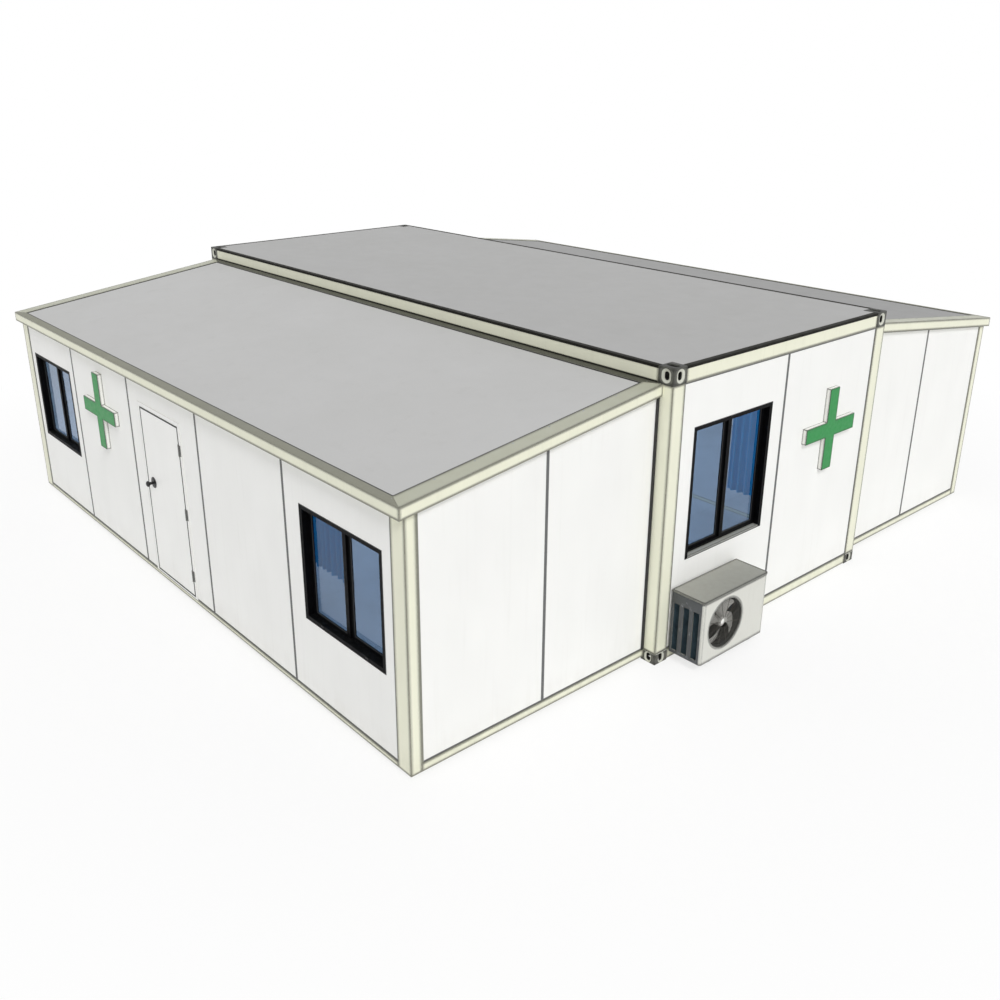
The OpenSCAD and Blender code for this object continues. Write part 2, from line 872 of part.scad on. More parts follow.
// Motor on a post that stands on the casing's floor, with the shaft that carries the fan
module ac_motor() {
    wide = motor_r / 2;
    color(motor_grey) {
        translate([motor_x0, fan_y, fan_z]) rotate([0, 90, 0]) {
            cylinder(h = motor_x1 - motor_x0, r = motor_r);
            cylinder(h = fan_x + shaft_in - motor_x0, r = shaft_r);
        }
        block([motor_x0, fan_y - wide, ac_z + ac_sheet], [motor_x1, fan_y + wide, fan_z]);
    }
}

module ac_fan() {
    color(fan_grey) translate([fan_x, fan_y, fan_z]) rotate([0, 90, 0]) difference() {
        union() {
            cylinder(h = blade_d, r = hub_r);
            intersection() {
                cylinder(h = blade_d, r = fan_r);
                for (i = [0:blades - 1]) rotate([0, 0, i * 360 / blades])
                    translate([0, 0, blade_d / 2]) rotate([blade_lean, 0, 0])
                        translate([0, -fan_r / 2, -blade_t / 2]) cube([fan_r, fan_r, blade_t]);
            }
        }
        translate([0, 0, -over])
            cylinder(h = shaft_in + over + seat_gap, r = shaft_r + pin_play);
    }
}

// Flat guard behind the front sheet: rings joined by four bars
module ac_fan_guard() {
    step = (fan_hole_r - hub_r) / guard_rings;
    color(ac_white) translate([guard_x, fan_y, fan_z]) rotate([0, 90, 0]) {
        for (i = [0:guard_rings]) {
            rim = i == guard_rings ? guard_rim : guard_bar / 2;
            difference() {
                cylinder(h = guard_t, r = hub_r + i * step + rim);
                translate([0, 0, -over])
                    cylinder(h = guard_t + 2 * over, r = hub_r + i * step - guard_bar / 2);
            }
        }
        for (a = [45:90:315]) rotate([0, 0, a])
            translate([hub_r, -guard_bar / 2, 0]) cube([fan_hole_r - hub_r, guard_bar, guard_t]);
    }
}

// Two arms on the end base beam, under the casing
module ac_brackets() {
    color(steel_grey) for (y = [ac_y0 + bracket_in, ac_y1 - bracket_in - bracket_w])
        block([end_face_x, y, ac_z - bracket_h], [ac_x1 - ac_corner, y + bracket_w, ac_z]);
}

// ---- Wing pieces, front and rear ----

module front_wing_rails() { front() wing_rails(); }
module rear_wing_rails() { wing_rails(); }
module front_wing_posts() { front() wing_posts(); }
module rear_wing_posts() { wing_posts(); }
module front_wing_end_walls() { front() wing_end_walls(); }
module rear_wing_end_walls() { wing_end_walls(); }
module front_roof_frame() { front() roof_frame(); }
module rear_roof_frame() { roof_frame(); }
module front_roof_panel() { front() roof_panel(); }
module rear_roof_panel() { roof_panel(); }

core_posts();
bottom_castings();
top_castings();
core_base_beams();
core_roof_beams();
core_headers();
core_floor();
core_roof_panel();
near_end_wall();
far_end_wall();
wing_floors();
front_wing_rails();
rear_wing_rails();
front_wing_posts();
rear_wing_posts();
front_wing_end_walls();
rear_wing_end_walls();
front_roof_frame();
rear_roof_frame();
front_roof_panel();
rear_roof_panel();
wing_feet();
front_wall();
door_wall_sides();
door_wall_head();
rear_wall();
curtain_tracks();
privacy_curtains();
window_frames();
window_sashes();
window_glass();
window_sills();
door_frame();
door_leaf();
door_knob();
door_hinges_fixed();
door_hinges_moving();
wall_crosses();
ac_casing();
ac_lid();
ac_coil();
ac_motor();
ac_fan();
ac_fan_guard();
ac_brackets();
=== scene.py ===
"""Container medical unit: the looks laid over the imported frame.

A container core carries a folding wing on each long side. The frame's own solids keep their places
and get painted, anodised, glazed or moulded finishes. The classes below add what is too fine for
the solids: rubber seals, screws, weld beads, glazing gaskets, guard wires, coil fins and blades.
Metres, +X is the end with the air conditioner, -Y the side with the door, +Z up.
"""

from __future__ import annotations

import json
import logging
import math
from collections.abc import Callable, Iterable, Mapping, Sequence
from dataclasses import dataclass
from enum import Enum

import bmesh
import bpy
from mathutils import Matrix, Vector
from mathutils.geometry import convex_hull_2d


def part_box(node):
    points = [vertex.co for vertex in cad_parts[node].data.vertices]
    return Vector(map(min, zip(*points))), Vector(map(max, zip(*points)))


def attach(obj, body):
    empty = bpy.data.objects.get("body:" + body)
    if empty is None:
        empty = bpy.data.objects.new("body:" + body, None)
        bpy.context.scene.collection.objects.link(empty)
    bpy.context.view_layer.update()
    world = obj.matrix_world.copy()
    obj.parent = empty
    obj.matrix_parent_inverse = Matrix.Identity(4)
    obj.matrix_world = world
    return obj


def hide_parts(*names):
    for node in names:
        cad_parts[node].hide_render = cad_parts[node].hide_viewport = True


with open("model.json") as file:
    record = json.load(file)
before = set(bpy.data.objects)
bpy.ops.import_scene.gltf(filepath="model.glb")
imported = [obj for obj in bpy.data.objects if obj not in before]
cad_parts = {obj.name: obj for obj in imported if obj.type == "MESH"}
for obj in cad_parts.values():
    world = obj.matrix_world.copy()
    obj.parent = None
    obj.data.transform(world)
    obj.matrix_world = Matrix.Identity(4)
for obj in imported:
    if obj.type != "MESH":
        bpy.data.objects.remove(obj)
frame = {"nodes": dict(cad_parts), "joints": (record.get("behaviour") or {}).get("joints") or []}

log = logging.getLogger("medical_unit")

MM = 0.001
# Points nearer than this count as one level
TINY = 1e-4
# Edges that turn by more than this, in radians, get rounded
SHARP = 0.6
# How far a piece that lies on a sheet reaches into it, so that no gap shows
SUNK = 1 * MM
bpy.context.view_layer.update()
Triple = tuple[float, float, float]


class Axis(Enum):
    """A direction of the part, as the index of its coordinate."""

    X = 0
    Y = 1
    Z = 2


class Body(Enum):
    """A moving body of the part."""

    BUILDING = "building"
    DOOR = "door"
    FAN = "fan"


class Slot(Enum):
    """A material slot of the part's record."""

    IVORY = "ivory_paint"
    ROOF = "roof_sheet"
    CASTING = "casting_paint"
    ZINC = "zinc_steel"
    BLACK = "black_aluminium"
    CROSS = "cross_paint"
    AC = "ac_paint"
    FINS = "coil_fins"
    MOTOR = "motor_paint"
    FAN = "fan_plastic"
    CURTAIN = "curtain_fabric"


def linear(code: str) -> tuple[float, float, float, float]:
    """Turns an sRGB hex colour into linear light.

    Args:
        code: Six hex digits.

    Returns:
        Red, green, blue and an alpha of 1.
    """
    parts = [int(code[i:i + 2], 16) / 255 for i in (0, 2, 4)]
    red, green, blue = (c / 12.92 if c <= 0.04045 else ((c + 0.055) / 1.055) ** 2.4 for c in parts)
    return (red, green, blue, 1.0)


def emptied(owner: bpy.types.Material | bpy.types.World) -> bpy.types.NodeTree:
    """The node tree of a material or world, with nothing in it."""
    owner.use_nodes = True
    owner.node_tree.nodes.clear()
    return owner.node_tree


def add_node(tree: bpy.types.NodeTree, kind: str, inputs: Mapping[str | int, object] | None = None,
             **settings: object) -> bpy.types.Node:
    """Adds a node with its settings, values and links.

    Args:
        tree: Tree that the node goes into.
        kind: Blender's name for the kind of node.
        inputs: What each input gets: a value, a socket, or a node for its first output.
        **settings: Properties to set on the node.

    Returns:
        The new node.
    """
    node = tree.nodes.new(kind)
    for name, value in settings.items():
        setattr(node, name, value)
    for key, value in (inputs or {}).items():
        if isinstance(value, bpy.types.Node):
            value = value.outputs[0]
        if isinstance(value, bpy.types.NodeSocket):
            tree.links.new(value, node.inputs[key])
        elif value is not None:
            node.inputs[key].default_value = value
    return node


# ---- Finishes ----


class Surface:
    """A shader tree while a finish's effects are laid on it, one after another."""

    def __init__(self, finish: Finish) -> None:
        """Starts the surface from a finish's plain values.

        Args:
            finish: The finish that it belongs to.
        """
        self.finish = finish
        self.material = bpy.data.materials.new(finish.name)
        self.tree = emptied(self.material)
        self.place = add_node(self.tree, "ShaderNodeTexCoord").outputs["Object"]
        self.facing = add_node(self.tree, "ShaderNodeNewGeometry").outputs["True Normal"]
        self.colour: object = linear(finish.colour)
        self.rough: object = finish.roughness
        self.normal: object = None

    def patches(self, size: float, start: float, full: float, detail: float,
                stretch: Triple = (1, 1, 1)) -> bpy.types.NodeSocket:
        """Soft irregular patches.

        Args:
            size: Size of a patch in millimetres.
            start: Noise level where a patch starts.
            full: Noise level where it is full.
            detail: Number of finer layers in the pattern.
            stretch: How many times longer a patch is along each axis.

        Returns:
            A mask from 0 between the patches to 1 inside them.
        """
        scale = tuple(1 / (size * MM * s) for s in stretch)
        spread = add_node(self.tree, "ShaderNodeMapping", {"Vector": self.place, "Scale": scale})
        noise = add_node(self.tree, "ShaderNodeTexNoise", {"Vector": spread, "Scale": 1.0, "Detail": detail})
        return self.level(noise, start, full)

    def level(self, value: object, start: float, end: float, low: float = 0.0,
              high: float = 1.0) -> bpy.types.NodeSocket:
        """Spreads one part of a value over another range.

        Args:
            value: The value.
            start: Where the part starts.
            end: Where it ends.
            low: Result up to the start.
            high: Result from the end on.

        Returns:
            The result.
        """
        return add_node(self.tree, "ShaderNodeMapRange", {
            "Value": value, "From Min": start, "From Max": end, "To Min": low, "To Max": high},
            clamp=True).outputs[0]

    def maths(self, operation: str, first: object, second: object) -> bpy.types.NodeSocket:
        """Two values joined by one of Blender's operations."""
        return add_node(self.tree, "ShaderNodeMath", {0: first, 1: second}, operation=operation).outputs[0]

    def part(self, vector: bpy.types.NodeSocket, axis: str) -> bpy.types.NodeSocket:
        """One coordinate of a vector."""
        return add_node(self.tree, "ShaderNodeSeparateXYZ", {0: vector}).outputs[axis]

    def cells(self, size: float, output: str) -> bpy.types.NodeSocket:
        """Cells of a size in millimetres, as their distance or their colour."""
        return add_node(self.tree, "ShaderNodeTexVoronoi", {"Vector": self.place, "Scale": 1 / (size * MM)},
                        feature="F1").outputs[output]

    def upward(self, sign: float = 1.0) -> bpy.types.NodeSocket:
        """Faces that look up, or down with a sign of -1, as a mask."""
        return self.level(self.part(self.facing, "Z"), sign * 0.55, sign * 0.9)

    def near_ground(self, height: float) -> bpy.types.NodeSocket:
        """A ragged band above the ground that has faded at a height in millimetres, as a mask."""
        band = self.level(self.part(self.place, "Z"), height * MM, 0.0)
        return self.maths("MULTIPLY", band, self.patches(90, 0.3, 0.7, 5, (1, 1, 2.5)))

    def on_top(self, size: float, start: float, full: float, detail: float) -> bpy.types.NodeSocket:
        """Patches on the faces that look up, as a mask."""
        return self.maths("MULTIPLY", self.upward(), self.patches(size, start, full, detail))

    def tint(self, code: str, mask: object, amount: float) -> None:
        """Turns the colour towards another one.

        Args:
            code: The other colour, as sRGB hex.
            mask: Where it goes.
            amount: How far it goes where the mask is 1.
        """
        share = self.maths("MULTIPLY", mask, amount)
        self.colour = add_node(self.tree, "ShaderNodeMix", {0: share, 6: self.colour, 7: linear(code)},
                               data_type="RGBA").outputs[2]

    def vary(self, mask: object, less: float, more: float) -> None:
        """Spreads the roughness, from less where a mask is 0 to more where it is 1."""
        rough = self.finish.roughness
        self.rough = self.level(mask, 0, 1, rough - less, rough + more)

    def relief(self, mask: object, height: float) -> None:
        """Raises the surface where a mask is, by a height in millimetres."""
        self.normal = add_node(self.tree, "ShaderNodeBump", {
            "Height": mask, "Distance": height * MM, "Normal": self.normal})

    def rounded(self, radius: float) -> None:
        """Lets the edges catch light as if rounded to a radius in millimetres. Comes first."""
        self.normal = add_node(self.tree, "ShaderNodeBevel", {"Radius": radius * MM}, samples=4)

    def edges(self, width: float) -> bpy.types.NodeSocket:
        """Bands along the sharp edges.

        Args:
            width: Reach of the probe in millimetres; the bands come out about a fifth as wide.

        Returns:
            A mask from 0 on the flat to 1 at the edges.
        """
        bent = add_node(self.tree, "ShaderNodeBevel", {"Radius": width * MM}, samples=8)
        match = add_node(self.tree, "ShaderNodeVectorMath", {0: bent, 1: self.facing},
                         operation="DOT_PRODUCT").outputs["Value"]
        return self.level(match, 0.998, 0.93)


def seen(tree: bpy.types.NodeTree) -> bpy.types.NodeSocket:
    """Whether the eye looks at a backdrop: straight, in a mirror image or through glass.

    Args:
        tree: The backdrop's node tree.

    Returns:
        1 where it does, else 0.
    """
    path = add_node(tree, "ShaderNodeLightPath").outputs
    direct = add_node(tree, "ShaderNodeMath", {0: path["Is Camera Ray"], 1: path["Is Glossy Ray"]},
                      operation="MAXIMUM")
    return add_node(tree, "ShaderNodeMath", {0: direct, 1: path["Is Transmission Ray"]},
                    operation="MAXIMUM").outputs[0]


@dataclass(frozen=True)
class Finish:
    """A finish as it is bought: a name, a clean colour and how it answers light."""

    name: str
    colour: str
    roughness: float
    metallic: float = 0.0
    ior: float = 1.5
    specular: float = 0.5
    coat: float = 0.0
    sheen: float = 0.0

    def dress(self, s: Surface) -> None:
        """Lays the finish's own effects on its surface."""

    def shader(self, s: Surface) -> bpy.types.Node:
        """The shader, with everything joined to it.

        Args:
            s: The surface, with its effects.

        Returns:
            The shader's node.
        """
        return add_node(s.tree, "ShaderNodeBsdfPrincipled", {
            "Base Color": s.colour, "Roughness": s.rough, "Metallic": self.metallic, "IOR": self.ior,
            "Specular IOR Level": self.specular, "Coat Weight": self.coat, "Coat Roughness": 0.15,
            "Sheen Weight": self.sheen, "Normal": s.normal})

    def material(self) -> bpy.types.Material:
        """The finish's material, made at its first use.

        Returns:
            The material, the same one each time.
        """
        known = bpy.data.materials.get(self.name)
        if known:
            return known
        s = Surface(self)
        self.dress(s)
        add_node(s.tree, "ShaderNodeOutputMaterial", {"Surface": self.shader(s)})
        return s.material


@dataclass(frozen=True)
class CoilCoatedSteel(Finish):
    """White polyester skin of a sandwich panel: satin, faintly wavy, with orange peel and rain marks."""

    def dress(self, s: Surface) -> None:
        """Adds waves of the thin skin, rain marks, splashes near the ground and orange peel.

        Args:
            s: The surface.
        """
        waves = s.patches(420, 0.2, 0.8, 1, (1, 1, 1.8))
        s.tint("EDEDEB", waves, 0.4)
        s.tint("BFBDB5", s.patches(34, 0.56, 0.8, 4, (1, 1, 26)), 0.07)
        s.tint("B9B2A2", s.near_ground(360), 0.16)
        s.vary(s.patches(160, 0.3, 0.7, 4, (1, 1, 3)), 0.05, 0.12)
        s.relief(waves, 0.4)
        # Orange peel is about 2 mm across; it is drawn at 6 mm so that it shows
        s.relief(s.patches(6, 0.2, 0.8, 2), 0.04)


@dataclass(frozen=True)
class PowderCoatedSteel(Finish):
    """Powder coat on folded steel: semi-gloss, dirty and darkened as painted shade on top, thin and dark
    along its sharp edges.
    """

    # Colour of the dust patches, and of the painted shade on every face that looks up
    dust_and_top_shade: str = "A6A898"
    streak: str = "A6A28C"
    primer: str = "4B4A40"

    def dress(self, s: Surface) -> None:
        """Adds soft edges, dirt patches and painted shade on top, rain marks, splashes, bare edges and a fine
        stipple.

        Args:
            s: The surface.
        """
        s.rounded(3)
        s.tint(self.dust_and_top_shade, s.patches(300, 0.3, 0.8, 3, (1, 1, 2)), 0.1)
        s.tint(self.streak, s.patches(30, 0.55, 0.78, 4, (1, 1, 22)), 0.08)
        # Painted shade: every face that looks up is turned most of the way to the finish's darker top colour
        s.tint(self.dust_and_top_shade, s.upward(), 0.85)
        s.tint(self.streak, s.on_top(120, 0.45, 0.75, 5), 0.2)
        s.tint(self.streak, s.near_ground(300), 0.22)
        s.tint(self.primer, s.edges(50), 0.8)
        s.vary(s.patches(110, 0.3, 0.7, 4), 0.04, 0.14)
        # Powder stipple is about 1.5 mm; it is drawn at 5 mm so that it shows
        s.relief(s.patches(5, 0.2, 0.8, 2), 0.05)


@dataclass(frozen=True)
class RoofMembrane(Finish):
    """Grey roof coating rolled over steel: matte and even, with slow mottling and roller texture."""

    mottle: str = "B5B5B4"

    def dress(self, s: Surface) -> None:
        """Adds mottling, a little dust, a white underside and roller texture.

        Args:
            s: The surface.
        """
        s.tint(self.mottle, s.patches(900, 0.25, 0.8, 4), 0.5)
        s.tint("8F8F88", s.patches(150, 0.58, 0.85, 5), 0.1)
        s.tint("FFFFFF", s.patches(14, 0.5, 0.9, 2), 0.05)
        s.tint("EDEEEC", s.upward(-1.0), 1.0)
        s.vary(s.patches(200, 0.3, 0.7, 5), 0.08, 0.08)
        s.relief(s.patches(9, 0.3, 0.8, 3), 0.15)


@dataclass(frozen=True)
class CastSteel(Finish):
    """Painted cast steel: coarse sand texture under thick paint, dark along its edges."""

    worn: str = "6E5A48"
    # Colour of the dark edges, and of the painted shade on the faces that look up
    edge: str = "1B1C1A"

    def dress(self, s: Surface) -> None:
        """Adds sand texture, runs of paint, worn spots, painted shade on top, dark edges and grime.

        Args:
            s: The surface.
        """
        sand = s.patches(7, 0.25, 0.8, 4)
        s.tint("6A6B64", s.patches(60, 0.4, 0.75, 4), 0.3)
        s.tint(self.worn, s.patches(16, 0.66, 0.72, 5), 0.5)
        s.tint("8A8270", s.near_ground(260), 0.3)
        # Painted shade: faces that look up are darkened most of the way to the edge colour
        s.tint(self.edge, s.upward(), 0.75)
        s.tint(self.edge, s.edges(70), 0.95)
        s.vary(sand, 0.08, 0.14)
        s.relief(sand, 0.35)


@dataclass(frozen=True)
class ZincPlated(Finish):
    """Zinc-plated steel: bright grey metal with crystal patches and fine scratches."""

    def dress(self, s: Surface) -> None:
        """Adds crystal patches, scratches and a dull bloom.

        Args:
            s: The surface.
        """
        grey = add_node(s.tree, "ShaderNodeSeparateColor", {0: s.cells(14, "Color")}).outputs[0]
        s.tint("8D9192", grey, 0.5)
        s.tint("6B6C68", s.patches(40, 0.5, 0.75, 5), 0.4)
        s.vary(grey, 0.1, 0.12)
        s.relief(s.patches(2.5, 0.6, 0.7, 2, (1, 1, 18)), 0.03)


@dataclass(frozen=True)
class Anodised(Finish):
    """Black anodised aluminium: deep satin black with faint die lines along the profile."""

    def dress(self, s: Surface) -> None:
        """Adds soft edges, die lines, dusty hollows and a slight bloom.

        Args:
            s: The surface.
        """
        s.rounded(1.5)
        s.tint("0A0B0E", s.patches(70, 0.35, 0.7, 4), 0.5)
        s.tint("191A1A", s.on_top(30, 0.4, 0.7, 4), 0.5)
        s.vary(s.patches(45, 0.3, 0.7, 4), 0.06, 0.12)
        s.relief(s.patches(3, 0.3, 0.7, 3, (40, 40, 40)), 0.02)


@dataclass(frozen=True)
class TintedGlass(Finish):
    """Blue tinted float glass: clear, mirror smooth, with a few wiping marks near its edges."""

    def dress(self, s: Surface) -> None:
        """Adds wiping marks, which only change how sharp the mirror image is."""
        s.vary(s.patches(140, 0.55, 0.85, 6), 0, 0.05)

    def shader(self, s: Surface) -> bpy.types.Node:
        """Glass that bends light, and lets the lamps' light through with the same tint.

        Args:
            s: The surface, with its effects.

        Returns:
            The shader's node.
        """
        glass = add_node(s.tree, "ShaderNodeBsdfPrincipled", {
            "Base Color": s.colour, "Roughness": s.rough, "IOR": self.ior, "Transmission Weight": 1.0})
        clear = add_node(s.tree, "ShaderNodeBsdfTransparent", {"Color": s.colour})
        path = add_node(s.tree, "ShaderNodeLightPath").outputs
        return add_node(s.tree, "ShaderNodeMixShader", {0: path["Is Shadow Ray"], 1: glass, 2: clear})


@dataclass(frozen=True)
class Moulded(Finish):
    """Moulded plastic or rubber: even colour, fine spark-eroded grain, slightly chalky patches."""

    chalk: str = "8C8C88"
    grain: float = 3.0
    grimy: float = 0.0

    def dress(self, s: Surface) -> None:
        """Adds chalking, grime along the edges, sheen patches and grain.

        Args:
            s: The surface.
        """
        s.tint(self.chalk, s.patches(60, 0.45, 0.8, 5), 0.18)
        if self.grimy:
            s.tint("161815", s.edges(self.grimy), 0.8)
        s.vary(s.patches(35, 0.3, 0.7, 4), 0.06, 0.1)
        s.relief(s.patches(self.grain, 0.3, 0.8, 2), 0.05)


@dataclass(frozen=True)
class AppliancePaint(Finish):
    """Baked appliance paint on pressed sheet: smooth satin with faint dents, streaks and dust."""

    streak: str = "A5A498"

    def dress(self, s: Surface) -> None:
        """Adds soft edges, streaks, dusty patches on top, dark edges and orange peel.

        Args:
            s: The surface.
        """
        s.rounded(2.5)
        s.tint(self.streak, s.patches(16, 0.5, 0.8, 4, (1, 1, 16)), 0.12)
        s.tint("8E8C80", s.on_top(70, 0.4, 0.75, 5), 0.25)
        s.tint("1E1F1E", s.edges(42), 0.85)
        s.vary(s.patches(60, 0.3, 0.7, 4), 0.05, 0.12)
        s.relief(s.patches(150, 0.2, 0.8, 1), 0.3)
        s.relief(s.patches(5, 0.2, 0.8, 2), 0.04)


@dataclass(frozen=True)
class VinylFloor(Finish):
    """Grey vinyl sheet over floor boards: flecked, satin, with scuffs and a seam at each board."""

    board: float = 1200.0
    seam_wide: float = 3.0
    seam_full: float = 1.0

    def dress(self, s: Surface) -> None:
        """Adds flecks, scuffs and the seams between boards.

        Args:
            s: The surface.
        """
        cycle = s.maths("PINGPONG", s.part(s.place, "X"), self.board * MM / 2)
        seam = s.level(cycle, self.seam_wide * MM, self.seam_full * MM)
        s.tint("C4C8CB", s.level(s.cells(22, "Distance"), 0.35, 0.1), 0.4)
        s.tint("8C9195", s.patches(260, 0.45, 0.8, 5), 0.3)
        s.tint("5A5D5F", seam, 0.8)
        s.vary(s.patches(180, 0.3, 0.7, 5), 0.1, 0.12)
        s.relief(seam, -0.8)


@dataclass(frozen=True)
class CurtainCloth(Finish):
    """Blue woven polyester: soft and matte, with a bloom on its folds. It reads its cloth's own map."""

    thread: float = 2.5

    def dress(self, s: Surface) -> None:
        """Adds the weave and slow changes of dye.

        Args:
            s: The surface.
        """
        s.place = add_node(s.tree, "ShaderNodeTexCoord").outputs["UV"]
        # Threads lie 0.4 mm apart; they are drawn at 2.5 mm so that they show
        pitch = self.thread * MM
        over, under = (s.level(s.maths("PINGPONG", s.part(s.place, a), pitch), 0, pitch) for a in "XY")
        weave = s.maths("MULTIPLY", over, under)
        s.tint("0B6596", s.patches(220, 0.3, 0.75, 4, (1, 3, 1)), 0.35)
        s.tint("3FB0DC", weave, 0.3)
        s.vary(over, 0.06, 0.04)
        s.relief(weave, 0.25)


@dataclass(frozen=True)
class BackdropFloor(Finish):
    """Plain matte floor that shows white further out and keeps the building's soft shadow."""

    near: float = 5.0
    far: float = 10.0

    def shader(self, s: Surface) -> bpy.types.Node:
        """Diffuse paint for the light, and a glow for the eye that grows to plain white.

        Args:
            s: The surface, with its effects.

        Returns:
            The shader's node.
        """
        away = add_node(s.tree, "ShaderNodeVectorMath", {0: s.place}, operation="LENGTH").outputs["Value"]
        share = s.maths("MULTIPLY", seen(s.tree), s.level(away, self.near, self.far, 0.7, 1.0))
        paint = add_node(s.tree, "ShaderNodeBsdfDiffuse", {"Color": s.colour})
        glow = add_node(s.tree, "ShaderNodeEmission", {"Color": linear("FFFFFF"), "Strength": 1.0})
        return add_node(s.tree, "ShaderNodeMixShader", {0: share, 1: paint, 2: glow})


WHITE_PANEL = CoilCoatedSteel("white coil-coated panel skin", "F8F8F6", 0.42)
DOOR_SKIN = CoilCoatedSteel("white coil-coated door skin", "F9F9F7", 0.38)
IVORY = PowderCoatedSteel("ivory powder-coated steel", "F0F0DB", 0.4)
CHANNEL = PowderCoatedSteel("olive powder-coated edge channel", "8E8E82", 0.45, dust_and_top_shade="8A8A7C")
SILL = PowderCoatedSteel("grey powder-coated sill", "BEBFBB", 0.4, dust_and_top_shade="B9BAB4")
# Painted shade: dark caps over the core's roof beams and upstands in the creases at the ridges, coloured to
# stand for the shade there
BEAM_SHADE_FLASHING = PowderCoatedSteel("dark flashing as painted shade", "302F29", 0.6, dust_and_top_shade="34332C", streak="3F3E36",
                             primer="141412", specular=0.1)
# Painted shade: the ridge plate's dark olive-grey stands for the shade on the tops of the wing roof frames
RIDGE_SHADE_PLATE = PowderCoatedSteel("olive-grey ridge flashing as painted shade", "55564A", 0.55, dust_and_top_shade="55564A", streak="6A695C",
                          primer="1C1C19")
HINGE = PowderCoatedSteel("grey powder-coated hinge", "969794", 0.45, dust_and_top_shade="8E8F8C", streak="858682",
                          primer="4A4A48")
# Painted shade: the eave plate's olive-grey stands for the shade on the tops of the wing roof frames
EAVE_SHADE_PLATE = RoofMembrane("olive-grey eave flashing as painted shade", "85857A", 0.7, mottle="8E8E7C")
# Painted light and shade: one grey coating in three copies, the front wing's lightened as if lit, the rear
# wing's darkened as if shaded, the core's in between
LIT_FRONT_ROOF = RoofMembrane("grey roof coating lightened as painted light", "C4C4C4", 0.78, mottle="BDBDBC")
CORE_ROOF = RoofMembrane("grey roof coating", "B3B3B3", 0.78, mottle="ADADAC")
SHADED_REAR_ROOF = RoofMembrane("grey roof coating darkened as painted shade", "9E9E9E", 0.78, mottle="989898")
CASTING = CastSteel("grey painted cast steel", "74756C", 0.55)
CASTING_RIM = CastSteel("pale machined casting rim", "E4E5DA", 0.42, worn="C4C2B2", edge="B9BAAE")
# Painted shade: the hollow and the walls of the holes are near black, standing for the shade inside the
# castings
CASTING_HOLLOW_SHADE = CastSteel("black painted shade inside the castings", "080808", 0.8, worn="0E0D0C")
SEAM_PRIMER = CastSteel("dark primer on the weld seams", "2C2D2A", 0.55, worn="3B3A34")
ZINC = ZincPlated("zinc-plated steel", "B4B8BA", 0.38, metallic=1.0)
COPPER = ZincPlated("tarnished copper tube", "8A5A42", 0.42, metallic=1.0)
BLACK_FRAME = Anodised("black anodised aluminium", "020203", 0.5, specular=0.08)
# A low IOR keeps the white surroundings from veiling the rooms, as an anti-reflection coat does
GLASS = TintedGlass("blue tinted float glass", "8299B7", 0.0, ior=1.3)
RUBBER = Moulded("black sealing rubber", "202122", 0.62, chalk="3A3B3B")
JOINT_SEALANT = Moulded("grey joint sealant", "616262", 0.6, chalk="747575", grain=5.0)
WHITE_SEALANT = Moulded("white silicone sealant", "E2E2DE", 0.45, chalk="CFCFCA", grain=5.0)
SEALANT = Moulded("dark silicone sealant", "161718", 0.5, chalk="2A2B2B", grain=5.0)
KNOB = Moulded("black moulded knob", "070708", 0.35, chalk="161617")
GREEN_ACRYLIC = Moulded("green acrylic", "078A3C", 0.42, chalk="0A7A36", grain=8.0, grimy=30.0)
CROSS_EDGE = Moulded("white foam board edge", "E9E9E4", 0.55, chalk="D0D0C8", grain=2.0, grimy=26.0)
AC_WHITE = AppliancePaint("white appliance paint", "D8D8D1", 0.4)
AC_GREY = AppliancePaint("grey appliance paint", "9E9E96", 0.5, streak="7C7B72")
# Painted shade: the grille's grey stands for the shade on the unit's louvred side
AC_SIDE_SHADE = AppliancePaint("grille plastic greyed as painted shade", "A3A8AF", 0.5, streak="8C9096")
FINS = Anodised("dark hydrophilic coil fins", "425762", 0.5, specular=0.3)
MOTOR = AppliancePaint("dark motor enamel", "2A2B2C", 0.45, streak="1E1E1E")
FAN_PLASTIC = Moulded("grey glass-filled fan plastic", "B4B3AE", 0.48, chalk="C2C1BB")
FAN_HUB = Moulded("pale fan hub cap", "F2F2EE", 0.4, chalk="E4E4DE")
GUARD_WIRE = Moulded("dark coated guard wire", "4A4843", 0.5, chalk="5E5B55")
FLOOR = VinylFloor("grey flecked vinyl floor", "ABB1B6", 0.4)
SKIRTING = Moulded("white skirting plastic", "E6E7E5", 0.4, chalk="D0D0CA")
CURTAIN_CLOTH = CurtainCloth("blue woven polyester", "12A2D2", 0.85, specular=0.2, sheen=0.3)
PALE_FLOOR = BackdropFloor("pale studio floor", "F7F7F7", 1.0)

NODE_FINISHES: dict[Finish, tuple[str, ...]] = {
    IVORY: ("core_posts", "core_base_beams", "core_roof_beams", "core_headers", "front_wing_rails",
            "rear_wing_rails", "front_wing_posts", "rear_wing_posts", "front_roof_frame",
            "rear_roof_frame"),
    WHITE_PANEL: ("near_end_wall", "far_end_wall", "front_wall", "rear_wall", "front_wing_end_walls",
                  "rear_wing_end_walls", "door_wall_sides", "door_wall_head"),
    DOOR_SKIN: ("door_frame", "door_leaf"),
    KNOB: ("door_knob",),
    HINGE: ("door_hinges_fixed", "door_hinges_moving"),
    CORE_ROOF: ("core_roof_panel",),
    LIT_FRONT_ROOF: ("front_roof_panel",),
    SHADED_REAR_ROOF: ("rear_roof_panel",),
    FLOOR: ("core_floor", "wing_floors"),
    BLACK_FRAME: ("window_frames", "window_sashes"),
    GLASS: ("window_glass",),
    SILL: ("window_sills",),
    ZINC: ("curtain_tracks", "ac_brackets"),
    CROSS_EDGE: ("wall_crosses",),
    AC_WHITE: ("ac_casing",),
    AC_GREY: ("ac_lid",),
    MOTOR: ("ac_motor",),
}


# ---- Reading the frame and making meshes ----


